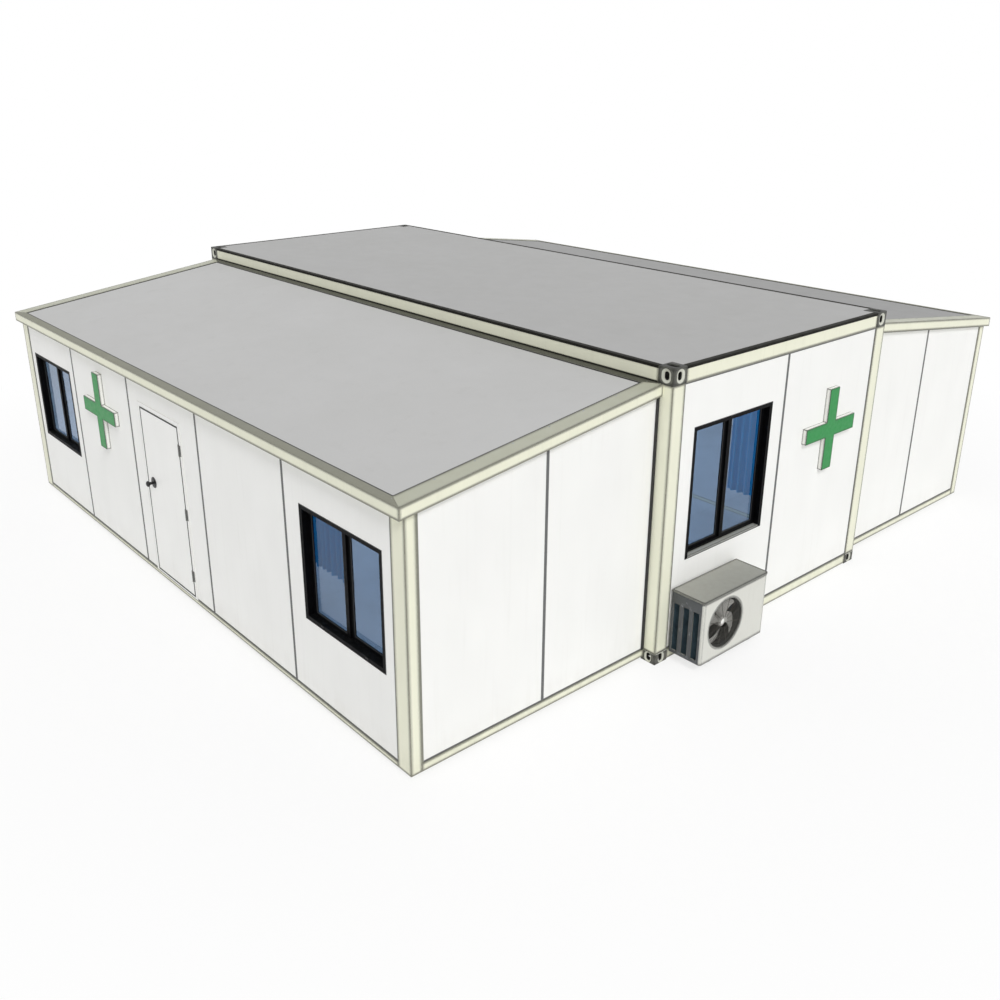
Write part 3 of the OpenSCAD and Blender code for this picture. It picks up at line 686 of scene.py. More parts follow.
def unit(axis: Axis, sign: float = 1.0) -> Vector:
    """A direction along an axis, one metre long."""
    direction = Vector((0, 0, 0))
    direction[axis.value] = math.copysign(1, sign)
    return direction


@dataclass(frozen=True)
class Block:
    """One closed solid of a frame node, as its corner points."""

    points: tuple[Vector, ...]

    @property
    def lo(self) -> Vector:
        """Lowest corner of its box."""
        return Vector(min(p[i] for p in self.points) for i in range(3))

    @property
    def hi(self) -> Vector:
        """Highest corner of its box."""
        return Vector(max(p[i] for p in self.points) for i in range(3))

    @property
    def size(self) -> Vector:
        """Size of its box."""
        return self.hi - self.lo

    @property
    def middle(self) -> Vector:
        """Middle of its box."""
        return (self.lo + self.hi) / 2

    @property
    def facing(self) -> tuple[Axis, float]:
        """Axis across a flat piece of a wall, and the sign of its outer side."""
        axis = Axis.X if self.size.x < self.size.y else Axis.Y
        return axis, math.copysign(1, self.middle[axis.value])

    @property
    def quarter(self) -> tuple[float, float, Vector]:
        """Signs of its quarter of the plan, and its bottom corner that lies furthest out."""
        sx, sy = (math.copysign(1, c) for c in self.middle[:2])
        return sx, sy, Vector(((self.hi if sx > 0 else self.lo).x, (self.hi if sy > 0 else self.lo).y,
                               self.lo.z))

    def face(self, axis: Axis, outward: float) -> tuple[list[Vector], Vector]:
        """Outermost corners of the flat side that looks along an axis.

        Args:
            axis: The axis that the side looks along.
            outward: 1 for the side at the high end, -1 for the one at the low end.

        Returns:
            Four corners in order round the side, and the direction that it looks along.
        """
        level = (self.hi if outward > 0 else self.lo)[axis.value]
        flat = [p for p in self.points if abs(p[axis.value] - level) < TINY]
        u, v = (i for i in range(3) if i != axis.value)
        ends = [[p for p in flat if abs(p[u] - pick(q[u] for q in flat)) < TINY] for pick in (min, max)]
        low, high = ([pick(e, key=lambda p: p[v]) for e in ends] for pick in (min, max))
        return [low[0], low[1], high[1], high[0]], unit(axis, outward)

    def cap(self) -> list[Vector]:
        """Corners of a top that may slope.

        Returns:
            Four corners, in order round it.
        """
        lo, hi = self.lo, self.hi
        found = []
        for x, y in ((lo.x, lo.y), (hi.x, lo.y), (hi.x, hi.y), (lo.x, hi.y)):
            here = [p for p in self.points if abs(p.x - x) < TINY and abs(p.y - y) < TINY]
            found.append(max(here, key=lambda p: p.z) if here else Vector((x, y, hi.z)))
        return found


def solids(*nodes: str) -> list[Block]:
    """Takes frame nodes apart into their closed solids.

    Args:
        *nodes: Names of the nodes.

    Returns:
        The solids, from low to high X, then Y, then Z.
    """
    found = []
    for node in nodes:
        bm = bmesh.new()
        bm.from_mesh(frame["nodes"][node].data)
        bmesh.ops.remove_doubles(bm, verts=bm.verts[:], dist=1e-5)
        left = set(bm.verts)
        while left:
            front = [left.pop()]
            members = []
            while front:
                vert = front.pop()
                members.append(vert.co.copy())
                near = {e.other_vert(vert) for e in vert.link_edges} & left
                left -= near
                front.extend(near)
            found.append(Block(tuple(members)))
        bm.free()
    return sorted(found, key=lambda b: tuple(round(c, 3) for c in b.middle))


def joined(blocks: Iterable[Block]) -> Block:
    """One block that holds the corner points of several."""
    return Block(tuple(p for b in blocks for p in b.points))


def joint_point(body: Body) -> Vector:
    """A point on the axis of a body's joint, from the record."""
    return Vector(next(j for j in frame["joints"] if j["child"] == body.value)["pos_m"])


def held(name: str, data: bpy.types.ID) -> bpy.types.Object:
    """A plain object in the scene for a mesh, a lamp or a camera."""
    made = bpy.data.objects.new(name, data)
    bpy.context.scene.collection.objects.link(made)
    return made


def evaluated(holder: bpy.types.Object) -> bpy.types.Mesh:
    """A plain mesh of an object with its modifiers applied."""
    depsgraph = bpy.context.evaluated_depsgraph_get()
    return bpy.data.meshes.new_from_object(holder.evaluated_get(depsgraph), depsgraph=depsgraph)


def moved_in(corners: Sequence[Vector], out: Vector, amount: float) -> list[Vector]:
    """Moves the corners of an outline towards its inside, with mitred corners.

    Args:
        corners: Corners in order round a convex outline.
        out: Direction that the outline looks along.
        amount: Distance in millimetres that each side moves, below 0 to move out.

    Returns:
        The moved corners.
    """
    middle = sum(corners, Vector()) / len(corners)
    moved = []
    for i, corner in enumerate(corners):
        before = (corner - corners[i - 1]).normalized()
        after = (corners[(i + 1) % len(corners)] - corner).normalized()
        inward = [out.cross(d) for d in (before, after)]
        if inward[0].dot(middle - corner) < 0:
            inward = [-n for n in inward]
        share = 1 + inward[0].dot(inward[1])
        moved.append(corner + (inward[0] + inward[1]) * (amount * MM / share))
    return moved


def fit(name: str, mesh: bpy.types.Mesh, *finishes: Finish, slot: Slot | None = None,
        body: Body = Body.BUILDING, replaced: str | None = None, smooth: float = 40.0) -> bpy.types.Object:
    """Puts a finished mesh on a body of the frame.

    Args:
        name: Name of the piece.
        mesh: Its mesh, in place.
        *finishes: Its finishes, in the order of their numbers; none where the mesh has them.
        slot: Not used.
        body: Body that it moves with.
        replaced: Frame node that it stands for.
        smooth: Largest angle in degrees that is shaded round.

    Returns:
        The piece's object.
    """
    for finish in finishes:
        mesh.materials.append(finish.material())
    mesh.shade_smooth()
    mesh.set_sharp_from_angle(angle=math.radians(smooth))
    piece = held(name, mesh)
    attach(piece, body.value)
    if replaced:
        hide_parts(replaced)
    triangles = sum(len(p.vertices) - 2 for p in mesh.polygons)
    log.info("%s: %d triangles on %s", name, triangles, body.value)
    return piece


class Stock:
    """Material cut to shape: closed shells gathered for one mesh, each with a finish's number."""

    def __init__(self) -> None:
        """Starts with nothing."""
        self.points: list[Vector] = []
        self.faces: list[tuple[int, ...]] = []
        self.numbers: list[int] = []

    def loft(self, rings: Sequence[Sequence[Vector]], looped: bool = False, number: int = 0) -> None:
        """Skins rings of points into one shell.

        Args:
            rings: Rings with the same number of points.
            looped: Joins the last ring to the first instead of closing both ends.
            number: Number of the finish.
        """
        start, size, count = len(self.points), len(rings[0]), len(rings)
        self.points += [Vector(p) for ring in rings for p in ring]
        faces = []
        for r in range(count if looped else count - 1):
            a, b = start + r * size, start + (r + 1) % count * size
            faces += [(a + i, a + (i + 1) % size, b + (i + 1) % size, b + i) for i in range(size)]
        if not looped:
            faces.append(tuple(range(start + size - 1, start - 1, -1)))
            faces.append(tuple(range(start + (count - 1) * size, start + count * size)))
        self.faces += faces
        self.numbers += [number] * len(faces)

    def box(self, lo: Sequence[float], hi: Sequence[float]) -> None:
        """A block between two opposite corners."""
        self.loft([[Vector((x, y, z)) for x, y in (
            (lo[0], lo[1]), (hi[0], lo[1]), (hi[0], hi[1]), (lo[0], hi[1]))] for z in (lo[2], hi[2])])

    def bar(self, ends: Sequence[Vector], out: Vector, width: float, proud: float,
            sunk: float = 0.0) -> None:
        """A flat bar that lies on a face from one point to another. Sizes in millimetres.

        Args:
            ends: Middles of its two ends, on the face.
            out: Direction that the face looks along.
            width: Width.
            proud: How far it stands out of the face.
            sunk: How far it goes into it.
        """
        across = (ends[1] - ends[0]).normalized().cross(out) * (width * MM / 2)
        up, down = out * (proud * MM), out * (sunk * MM)
        ring = [across + up, -across + up, -across - down, across - down]
        self.loft([[p + r for r in ring] for p in ends])

    def upright(self, middle: Vector, height: float, out: Vector, *sizes: float) -> None:
        """A bar of a height in millimetres that stands upright, with the sizes that a bar takes."""
        half = unit(Axis.Z) * (height * MM / 2)
        self.bar((middle - half, middle + half), out, *sizes)

    def border(self, corners: Sequence[Vector], out: Vector, inner: float, outer: float, proud: float,
               sunk: float) -> None:
        """A flat frame that follows an outline on a face. Sizes in millimetres.

        Args:
            corners: Corners in order round the outline.
            out: Direction that the face looks along.
            inner: How far it reaches inside the outline.
            outer: How far it reaches outside it.
            proud: How far it stands out of the face.
            sunk: How far it goes into the face.
        """
        up, down = out * (proud * MM), out * (sunk * MM)
        self.loft([[w + up, t + up, t - down, w - down] for w, t in zip(
            moved_in(corners, out, -outer), moved_in(corners, out, inner))], looped=True)

    def plate(self, corners: Sequence[Vector], out: Vector, proud: float, sunk: float = 0.0) -> None:
        """A flat plate on a face, from its outline, a way out of the face and into it in millimetres."""
        self.loft([[p + out * (d * MM) for p in corners] for d in (-sunk, proud)])

    def turned(self, profile: Sequence[tuple[float, float]], middle: Vector, axis: Axis, sides: int,
               looped: bool = False, number: int = 0) -> None:
        """A piece turned on a lathe.

        Args:
            profile: Radius and place along the axis of each point, in millimetres.
            middle: Point on the axis that the places count from.
            axis: The axis.
            sides: Number of sides round it.
            looped: Joins the profile's last point to its first, for a ring.
            number: Number of the finish.
        """
        u, v = (unit(Axis((axis.value + i) % 3)) for i in (1, 2))
        along, turns = unit(axis), [2 * math.pi * k / sides for k in range(sides)]
        self.loft([[middle + along * (place * MM) + (u * math.cos(t) + v * math.sin(t)) * (radius * MM)
                    for t in turns] for radius, place in profile], looped, number)

    def mesh(self, name: str, bevel: float = 0.0) -> bpy.types.Mesh:
        """Makes the mesh, with its faces outwards.

        Args:
            name: Name of the mesh.
            bevel: Radius in millimetres that the sharp edges get.

        Returns:
            The mesh.
        """
        bm = bmesh.new()
        verts = [bm.verts.new(p) for p in self.points]
        for face, number in zip(self.faces, self.numbers):
            bm.faces.new([verts[i] for i in face]).material_index = number
        bmesh.ops.remove_doubles(bm, verts=bm.verts[:], dist=1e-7)
        bmesh.ops.recalc_face_normals(bm, faces=bm.faces[:])
        if bevel:
            sharp = [e for e in bm.edges if len(e.link_faces) == 2 and e.calc_face_angle(0) > SHARP]
            bmesh.ops.bevel(bm, geom=sharp, offset=bevel * MM, segments=2, profile=0.5, affect="EDGES",
                            clamp_overlap=True)
        made = bpy.data.meshes.new(name)
        bm.to_mesh(made)
        bm.free()
        return made

    def fit(self, name: str, *finishes: Finish, bevel: float = 0.0, **how: object) -> bpy.types.Object:
        """Makes the mesh and puts it on a body, with the options that fit takes."""
        return fit(name, self.mesh(name, bevel), *finishes, **how)


# ---- Geometry Nodes tools ----


class Tool:
    """A geometry-node tree with named sizes that turns a plain mesh into a repeated or swept one."""

    name = "tool"
    sizes: dict[str, tuple[str, object]] = {}

    def __init__(self) -> None:
        """Makes the tree with its inputs and output."""
        self.tree = bpy.data.node_groups.new(self.name, "GeometryNodeTree")
        face = self.tree.interface
        face.new_socket("Geometry", in_out="INPUT", socket_type="NodeSocketGeometry")
        for label, (kind, value) in self.sizes.items():
            face.new_socket(label, in_out="INPUT", socket_type=f"NodeSocket{kind}").default_value = value
        face.new_socket("Material", in_out="INPUT", socket_type="NodeSocketMaterial")
        face.new_socket("Geometry", in_out="OUTPUT", socket_type="NodeSocketGeometry")
        self.given = add_node(self.tree, "NodeGroupInput").outputs
        real = add_node(self.tree, "GeometryNodeRealizeInstances", {0: self.grow()})
        dressed = add_node(self.tree, "GeometryNodeSetMaterial",
                           {"Geometry": real, "Material": self.given["Material"]})
        add_node(self.tree, "NodeGroupOutput", {"Geometry": dressed})

    def grow(self) -> bpy.types.Node:
        """Adds the nodes of the tool and returns the one with the geometry that they make."""
        raise NotImplementedError

    def path(self) -> bpy.types.Node:
        """The given mesh's edges as a curve."""
        return add_node(self.tree, "GeometryNodeMeshToCurve", {"Mesh": self.given["Geometry"]})

    def repeat(self, points: object, instance: object, rotation: object = (0, 0, 0)) -> bpy.types.Node:
        """An instance on each point, turned by a rotation."""
        return add_node(self.tree, "GeometryNodeInstanceOnPoints", {
            "Points": points, "Instance": instance, "Rotation": rotation})

    def lay(self, name: str, source: bpy.types.Mesh | None, finish: Finish, sizes: Mapping[str, object],
            **how: object) -> bpy.types.Object:
        """Runs the tool on a mesh and puts the result on a body.

        Args:
            name: Name of the piece.
            source: The mesh that it starts from: points, a path or one part, if the tool needs one.
            finish: Finish of the result.
            sizes: Values of the named inputs; a plain length is in millimetres.
            **how: The options that fit takes.

        Returns:
            The piece's object.
        """
        holder = held(self.name, source or bpy.data.meshes.new(self.name))
        modifier = holder.modifiers.new(self.name, "NODES")
        modifier.node_group = self.tree
        keys = {s.name: s.identifier for s in self.tree.interface.items_tree
                if s.item_type == "SOCKET" and s.in_out == "INPUT"}
        modifier[keys["Material"]] = finish.material()
        for label, value in sizes.items():
            modifier[keys[label]] = value * MM if self.sizes[label][0] == "Float" else value
        made = evaluated(holder)
        holder.modifiers.clear()
        bpy.data.objects.remove(holder)
        return fit(name, made, **how)


class Cord(Tool):
    """Sweeps a round cord, wire or bead along the edges of a path."""

    name = "cord"
    sizes = {"Radius": ("Float", 0.003), "Sides": ("Int", 8)}

    def grow(self) -> bpy.types.Node:
        """Sweeps a circle along the path.

        Returns:
            The node with the geometry.
        """
        ring = add_node(self.tree, "GeometryNodeCurvePrimitiveCircle", {
            "Resolution": self.given["Sides"], "Radius": self.given["Radius"]})
        return add_node(self.tree, "GeometryNodeCurveToMesh", {
            "Curve": self.path(), "Profile Curve": ring, "Fill Caps": True})


class WeldBead(Tool):
    """Lays overlapping scales of weld metal along a path."""

    name = "weld_bead"
    sizes = {"Radius": ("Float", 0.004), "Pitch": ("Float", 0.004)}

    def grow(self) -> bpy.types.Node:
        """Puts one low dome at each step of the path.

        Returns:
            The node with the geometry.
        """
        steps = add_node(self.tree, "GeometryNodeCurveToPoints", {
            "Curve": self.path(), "Length": self.given["Pitch"]}, mode="LENGTH")
        dome = add_node(self.tree, "GeometryNodeMeshUVSphere", {
            "Segments": 6, "Rings": 4, "Radius": self.given["Radius"]})
        return self.repeat(steps, dome, steps.outputs["Rotation"])


class ScrewRow(Tool):
    """Sets a hexagon washer-head screw on each point, looking along the point's own direction."""

    name = "screw_row"
    sizes = {"Head": ("Float", 0.005), "Height": ("Float", 0.004), "Washer": ("Float", 0.008),
             "Edge": ("Float", 0.0015)}

    def grow(self) -> bpy.types.Node:
        """Joins head and washer and turns them to each point's direction.

        Returns:
            The node with the geometry.
        """
        both = add_node(self.tree, "GeometryNodeJoinGeometry")
        for sides, foot, depth in ((6, "Head", "Height"), (12, "Washer", "Edge")):
            part = add_node(self.tree, "GeometryNodeMeshCone", {
                "Vertices": sides, "Radius Top": self.given["Head"], "Radius Bottom": self.given[foot],
                "Depth": self.given[depth]})
            self.tree.links.new(part.outputs[0], both.inputs[0])
        facing = add_node(self.tree, "GeometryNodeInputNamedAttribute", {"Name": "facing"},
                          data_type="FLOAT_VECTOR")
        turn = add_node(self.tree, "FunctionNodeAlignRotationToVector", {"Vector": facing}, axis="Z")
        return self.repeat(self.given["Geometry"], both, turn)


class Slats(Tool):
    """Repeats one flat slat or fin at an even pitch."""

    name = "slats"
    sizes = {"Count": ("Int", 10), "Start": ("Vector", (0, 0, 0)), "Pitch": ("Vector", (0, 0, 0.01)),
             "Slat": ("Vector", (0.01, 0.01, 0.001))}

    def grow(self) -> bpy.types.Node:
        """Puts a slat at each step.

        Returns:
            The node with the geometry.
        """
        line = add_node(self.tree, "GeometryNodeMeshLine", {
            "Count": self.given["Count"], "Start Location": self.given["Start"],
            "Offset": self.given["Pitch"]}, mode="OFFSET")
        slat = add_node(self.tree, "GeometryNodeMeshCube", {"Size": self.given["Slat"]})
        return self.repeat(line, slat)


class Rotor(Tool):
    """Repeats a part round the X axis and puts the whole on its shaft."""

    name = "rotor"
    sizes = {"Count": ("Int", 4), "Shaft": ("Vector", (0, 0, 0))}

    def grow(self) -> bpy.types.Node:
        """Turns each copy by its share of a full turn.

        Returns:
            The node with the geometry.
        """
        points = add_node(self.tree, "GeometryNodePoints", {"Count": self.given["Count"]})
        step = add_node(self.tree, "ShaderNodeMath", {0: 2 * math.pi, 1: self.given["Count"]},
                        operation="DIVIDE")
        index = add_node(self.tree, "GeometryNodeInputIndex")
        angle = add_node(self.tree, "ShaderNodeMath", {0: index, 1: step}, operation="MULTIPLY")
        turn = add_node(self.tree, "FunctionNodeAxisAngleToRotation", {"Axis": (1, 0, 0), "Angle": angle})
        laid = self.repeat(points, self.given["Geometry"], turn)
        return add_node(self.tree, "GeometryNodeTransform", {
            "Geometry": laid, "Translation": self.given["Shaft"]})


def path_mesh(paths: Iterable[Sequence[Vector]], closed: bool = False) -> bpy.types.Mesh:
    """A mesh of edges only, for the tools that follow a path.

    Args:
        paths: The points of each path.
        closed: Joins each path's end to its start.

    Returns:
        The mesh.
    """
    points: list[Vector] = []
    edges: list[tuple[int, int]] = []
    for path in paths:
        start, last = len(points), len(points) + len(path) - 1
        points.extend(path)
        edges += [(i, i + 1) for i in range(start, last)] + [(last, start)] * closed
    mesh = bpy.data.meshes.new("path")
    mesh.from_pydata(points, edges, [])
    return mesh


def screw_points(places: Sequence[tuple[Vector, Vector]]) -> bpy.types.Mesh:
    """A mesh of points that each know which way a screw looks.

    Args:
        places: The point and direction of each screw.

    Returns:
        The mesh.
    """
    mesh = bpy.data.meshes.new("screws")
    mesh.from_pydata([p for p, _ in places], [], [])
    facing = mesh.attributes.new("facing", "FLOAT_VECTOR", "POINT")
    facing.data.foreach_set("vector", [c for _, d in places for c in d])
    return mesh


def arc_path(middle: Vector, radius: float, sides: int) -> list[Vector]:
    """Points of a circle that looks along X, with its radius in metres."""
    return [middle + Vector((0, radius * math.cos(t), radius * math.sin(t)))
            for t in (2 * math.pi * k / sides for k in range(sides))]


# ---- Sub-assemblies ----


class Paintwork:
    """The finishes that the frame's own solids get."""

    def build(self) -> None:
        """Gives each frame node its finish."""
        painted = 0
        for finish, nodes in NODE_FINISHES.items():
            for node in nodes:
                for slot in frame["nodes"][node].material_slots:
                    slot.material = finish.material()
                painted += 1
        log.info("paintwork: %d nodes", painted)


@dataclass
class CornerCastings:
    """Hollow corner castings with round edges and bevelled lock holes. Sizes in millimetres."""

    wall: float = 28.0
    edge: float = 7.0
    slot_length: float = 124.0
    slot_width: float = 63.5
    oval_height: float = 79.0
    oval_width: float = 51.0
    oval_sides: int = 32
    rim_wide: float = 27.0
    rim_deep: float = 11.0
    rim_margin: float = 4.0
    slant: float = 0.97
    bead: float = 4.5

    def cutter(self, place: Callable[[float, float, float], Vector], length: float, width: float,
               rim: float) -> bpy.types.Object:
        """A tool for one hole with round ends: straight through the wall, opening out at the face.

        Args:
            place: Turns depth, along and across into a point; depth is 0 at the face.
            length: Length of the hole.
            width: Width of the hole.
            rim: How much wider the hole is at the face, on each side.

        Returns:
            The cutter's object.
        """
        run, rings = (length - width) / 2, []
        turns = [2 * math.pi * (k + 0.5) / self.oval_sides for k in range(self.oval_sides)]
        for depth, wider in ((-1.0, rim + rim / self.rim_deep), (self.rim_deep, 0.0), (self.wall + 2, 0.0)):
            radius = width / 2 + wider
            rings.append([place(depth, math.copysign(run, math.cos(t)) + radius * math.cos(t),
                                radius * math.sin(t)) for t in turns])
        stock = Stock()
        stock.loft(rings)
        return held("hole", stock.mesh("hole"))

    def master(self, width: float, height: float, top: bool) -> bpy.types.Mesh:
        """One casting with its outer corner at the origin and its body towards -X and -Y.

        Args:
            width: Side of the casting.
            height: Height of the casting.
            top: Puts the long slot on the upper face instead of the lower one.

        Returns:
            Its mesh, drawn with one unit to the millimetre: 0 is paint, 1 the rims, 2 the hollow.
        """
        outside, hollow = Stock(), Stock()
        outside.box((-width, -width, 0), (0, 0, height))
        blank = held("blank", outside.mesh("casting", bevel=self.edge / MM))
        w, half, middle = self.wall, width / 2, height / 2
        hollow.box((-width + w, -width + w, w), (-w, -w, height - w))
        rim = min(self.rim_wide, (height - self.oval_height) / 2 - self.rim_margin)
        oval = self.oval_height, self.oval_width, rim
        for cutter in (
                held("hollow", hollow.mesh("hollow")),
                self.cutter(lambda d, a, c: Vector((a - half, c - half, height - d if top else d)),
                            self.slot_length, self.slot_width, self.rim_margin),
                self.cutter(lambda d, a, c: Vector((-d, c - half, a + middle)), *oval),
                self.cutter(lambda d, a, c: Vector((c - half, -d, a + middle)), *oval)):
            cut = blank.modifiers.new("cut", "BOOLEAN")
            cut.operation = "DIFFERENCE"
            cut.solver = "EXACT"
            cut.object = cutter
        made = evaluated(blank)
        for cut in list(blank.modifiers):
            bpy.data.objects.remove(cut.object)
        bpy.data.objects.remove(blank)
        self.number_faces(made, width, height, rim)
        return made

    def number_faces(self, mesh: bpy.types.Mesh, width: float, height: float, rim: float) -> None:
        """Marks the rims and the hollow for their own finishes.

        Args:
            mesh: The casting.
            width: Side of the casting.
            height: Height of the casting.
            rim: Width of the bevel round an oval hole.
        """
        for face in mesh.polygons:
            c = face.center
            inside = c.x < -self.wall + 1 and c.y < -self.wall + 1
            deep = min(-c.x, width + c.x, -c.y, width + c.y, c.z, height - c.z)
            slanted = max(abs(n) for n in face.normal) < self.slant
            near_hole = math.hypot(max(abs(c.z - height / 2) - self.oval_height / 2, 0),
                                   max(min(abs(c.y + width / 2), abs(c.x + width / 2))
                                       - self.oval_width / 2, 0)) < rim
            if slanted and 0 < deep < self.rim_deep and near_hole:
                face.material_index = 1
            elif deep > self.rim_deep + 1 or (inside and deep > self.wall - 1):
                face.material_index = 2

    def placed(self, master: bpy.types.Mesh, block: Block, bm: bmesh.types.BMesh) -> None:
        """Adds a copy of a casting at the place of a frame solid.

        Args:
            master: The casting, in millimetres.
            block: The solid that it stands for.
            bm: Mesh that it is added to.
        """
        sx, sy, corner = block.quarter
        verts, faces = len(bm.verts), len(bm.faces)
        bm.from_mesh(master)
        bmesh.ops.transform(bm, verts=bm.verts[verts:],
                            matrix=Matrix.Translation(corner) @ Matrix.Diagonal((sx * MM, sy * MM, MM, 1)))
        if sx * sy < 0:
            bmesh.ops.reverse_faces(bm, faces=bm.faces[faces:])

    def build(self) -> None:
        """Makes the eight castings and the weld beads that join them to the posts."""
        beads = []
        for name, node, top in (("lower_corner_castings", "bottom_castings", False),
                                ("upper_corner_castings", "top_castings", True)):
            blocks = solids(node)
            size = blocks[0].size / MM
            master = self.master(size.x, size.z, top)
            bm = bmesh.new()
            for block in blocks:
                self.placed(master, block, bm)
                beads.append(self.bead_path(block, top))
            mesh = bpy.data.meshes.new(name)
            bm.to_mesh(mesh)
            bm.free()
            fit(name, mesh, CASTING, CASTING_RIM, CASTING_HOLLOW_SHADE, slot=Slot.CASTING, replaced=node)
        WeldBead().lay("casting_welds", path_mesh(beads), SEAM_PRIMER,
                       {"Radius": self.bead, "Pitch": self.bead}, slot=Slot.CASTING)

    def bead_path(self, block: Block, top: bool) -> list[Vector]:
        """Corner of the joint between a casting and its post, round the two outer faces.

        Args:
            block: The casting's solid.
            top: True where the post is below.

        Returns:
            Three points.
        """
        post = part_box("core_posts")[1]
        sx, sy, _ = block.quarter
        z = block.lo.z if top else block.hi.z
        inset = self.bead * MM / 2
        x, y = (post.x - inset) * sx, (post.y - inset) * sy
        width = block.size.x - 3 * self.edge * MM
        return [Vector((x - sx * width, y, z)), Vector((x, y, z)), Vector((x, y - sy * width, z))]


@dataclass
class WallSeals:
    """Rubber seals round every wall panel, and the trims that cover the joints. Millimetres."""

    width: float = 14.0
    over_gap: float = 2.0
    proud: float = 1.5
    sunk: float = 2.0
    channel: float = 19.0
    channel_proud: float = 4.0
    wing_seal: float = 34.0
    wing_seal_proud: float = 14.0
    skirting_height: float = 60.0
    skirting_deep: float = 8.0

    def build(self) -> None:
        """Makes the seals outside, the trims inside and the skirting at the floor."""
        seals, trims, skirting = Stock(), Stock(), Stock()
        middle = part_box("wing_floors")[1].z + self.skirting_height * MM / 2
        for block in (*solids("front_wall", "rear_wall"), joined(solids("door_wall_sides", "door_wall_head")),
                      *solids("near_end_wall", "far_end_wall", "front_wing_end_walls",
                              "rear_wing_end_walls")):
            axis, sign = block.facing
            for stock, side in ((seals, sign), (trims, -sign)):
                stock.border(*block.face(axis, side), self.width, self.over_gap, self.proud, self.sunk)
            if not self.holds_door(block):
                corners, out = block.face(axis, -sign)
                ends = [Vector((p.x, p.y, middle)) for p in corners[:2]]
                skirting.bar(ends, out, self.skirting_height, self.skirting_deep)
        seals.fit("panel_seals", JOINT_SEALANT)
        trims.fit("inner_joint_trims", SKIRTING)
        skirting.fit("skirting", SKIRTING, bevel=2)
        self.wing_corners()

    def holds_door(self, block: Block) -> bool:
        """True for the panel with the doorway, which has no skirting."""
        lo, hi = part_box("door_leaf")
        return block.lo.x < lo.x and block.hi.x > hi.x and block.lo.y < lo.y + 1

    def wing_corners(self) -> None:
        """Edge channels where the wings' end walls meet their posts, and thick seals at the core."""
        channels, seals = Stock(), Stock()
        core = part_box("core_posts")[1].y
        for block in solids("front_wing_end_walls", "rear_wing_end_walls"):
            sx, sy, corner = block.quarter
            tops = {abs(p.y): p.z for p in block.cap()}
            stock, edge, inwards, width, proud = (
                (seals, min(tops), 1, self.wing_seal, self.wing_seal_proud)
                if abs(min(tops) - core) < TINY
                else (channels, max(tops), -1, self.channel, self.channel_proud))
            y = sy * (edge + inwards * width * MM / 2)
            ends = [Vector((corner.x, y, z)) for z in (block.lo.z, tops[edge])]
            stock.bar(ends, unit(Axis.X, sx), width, proud)
        seals.fit("wing_to_core_seals", RUBBER, bevel=4)
        channels.fit("panel_edge_channels", CHANNEL, slot=Slot.IVORY)


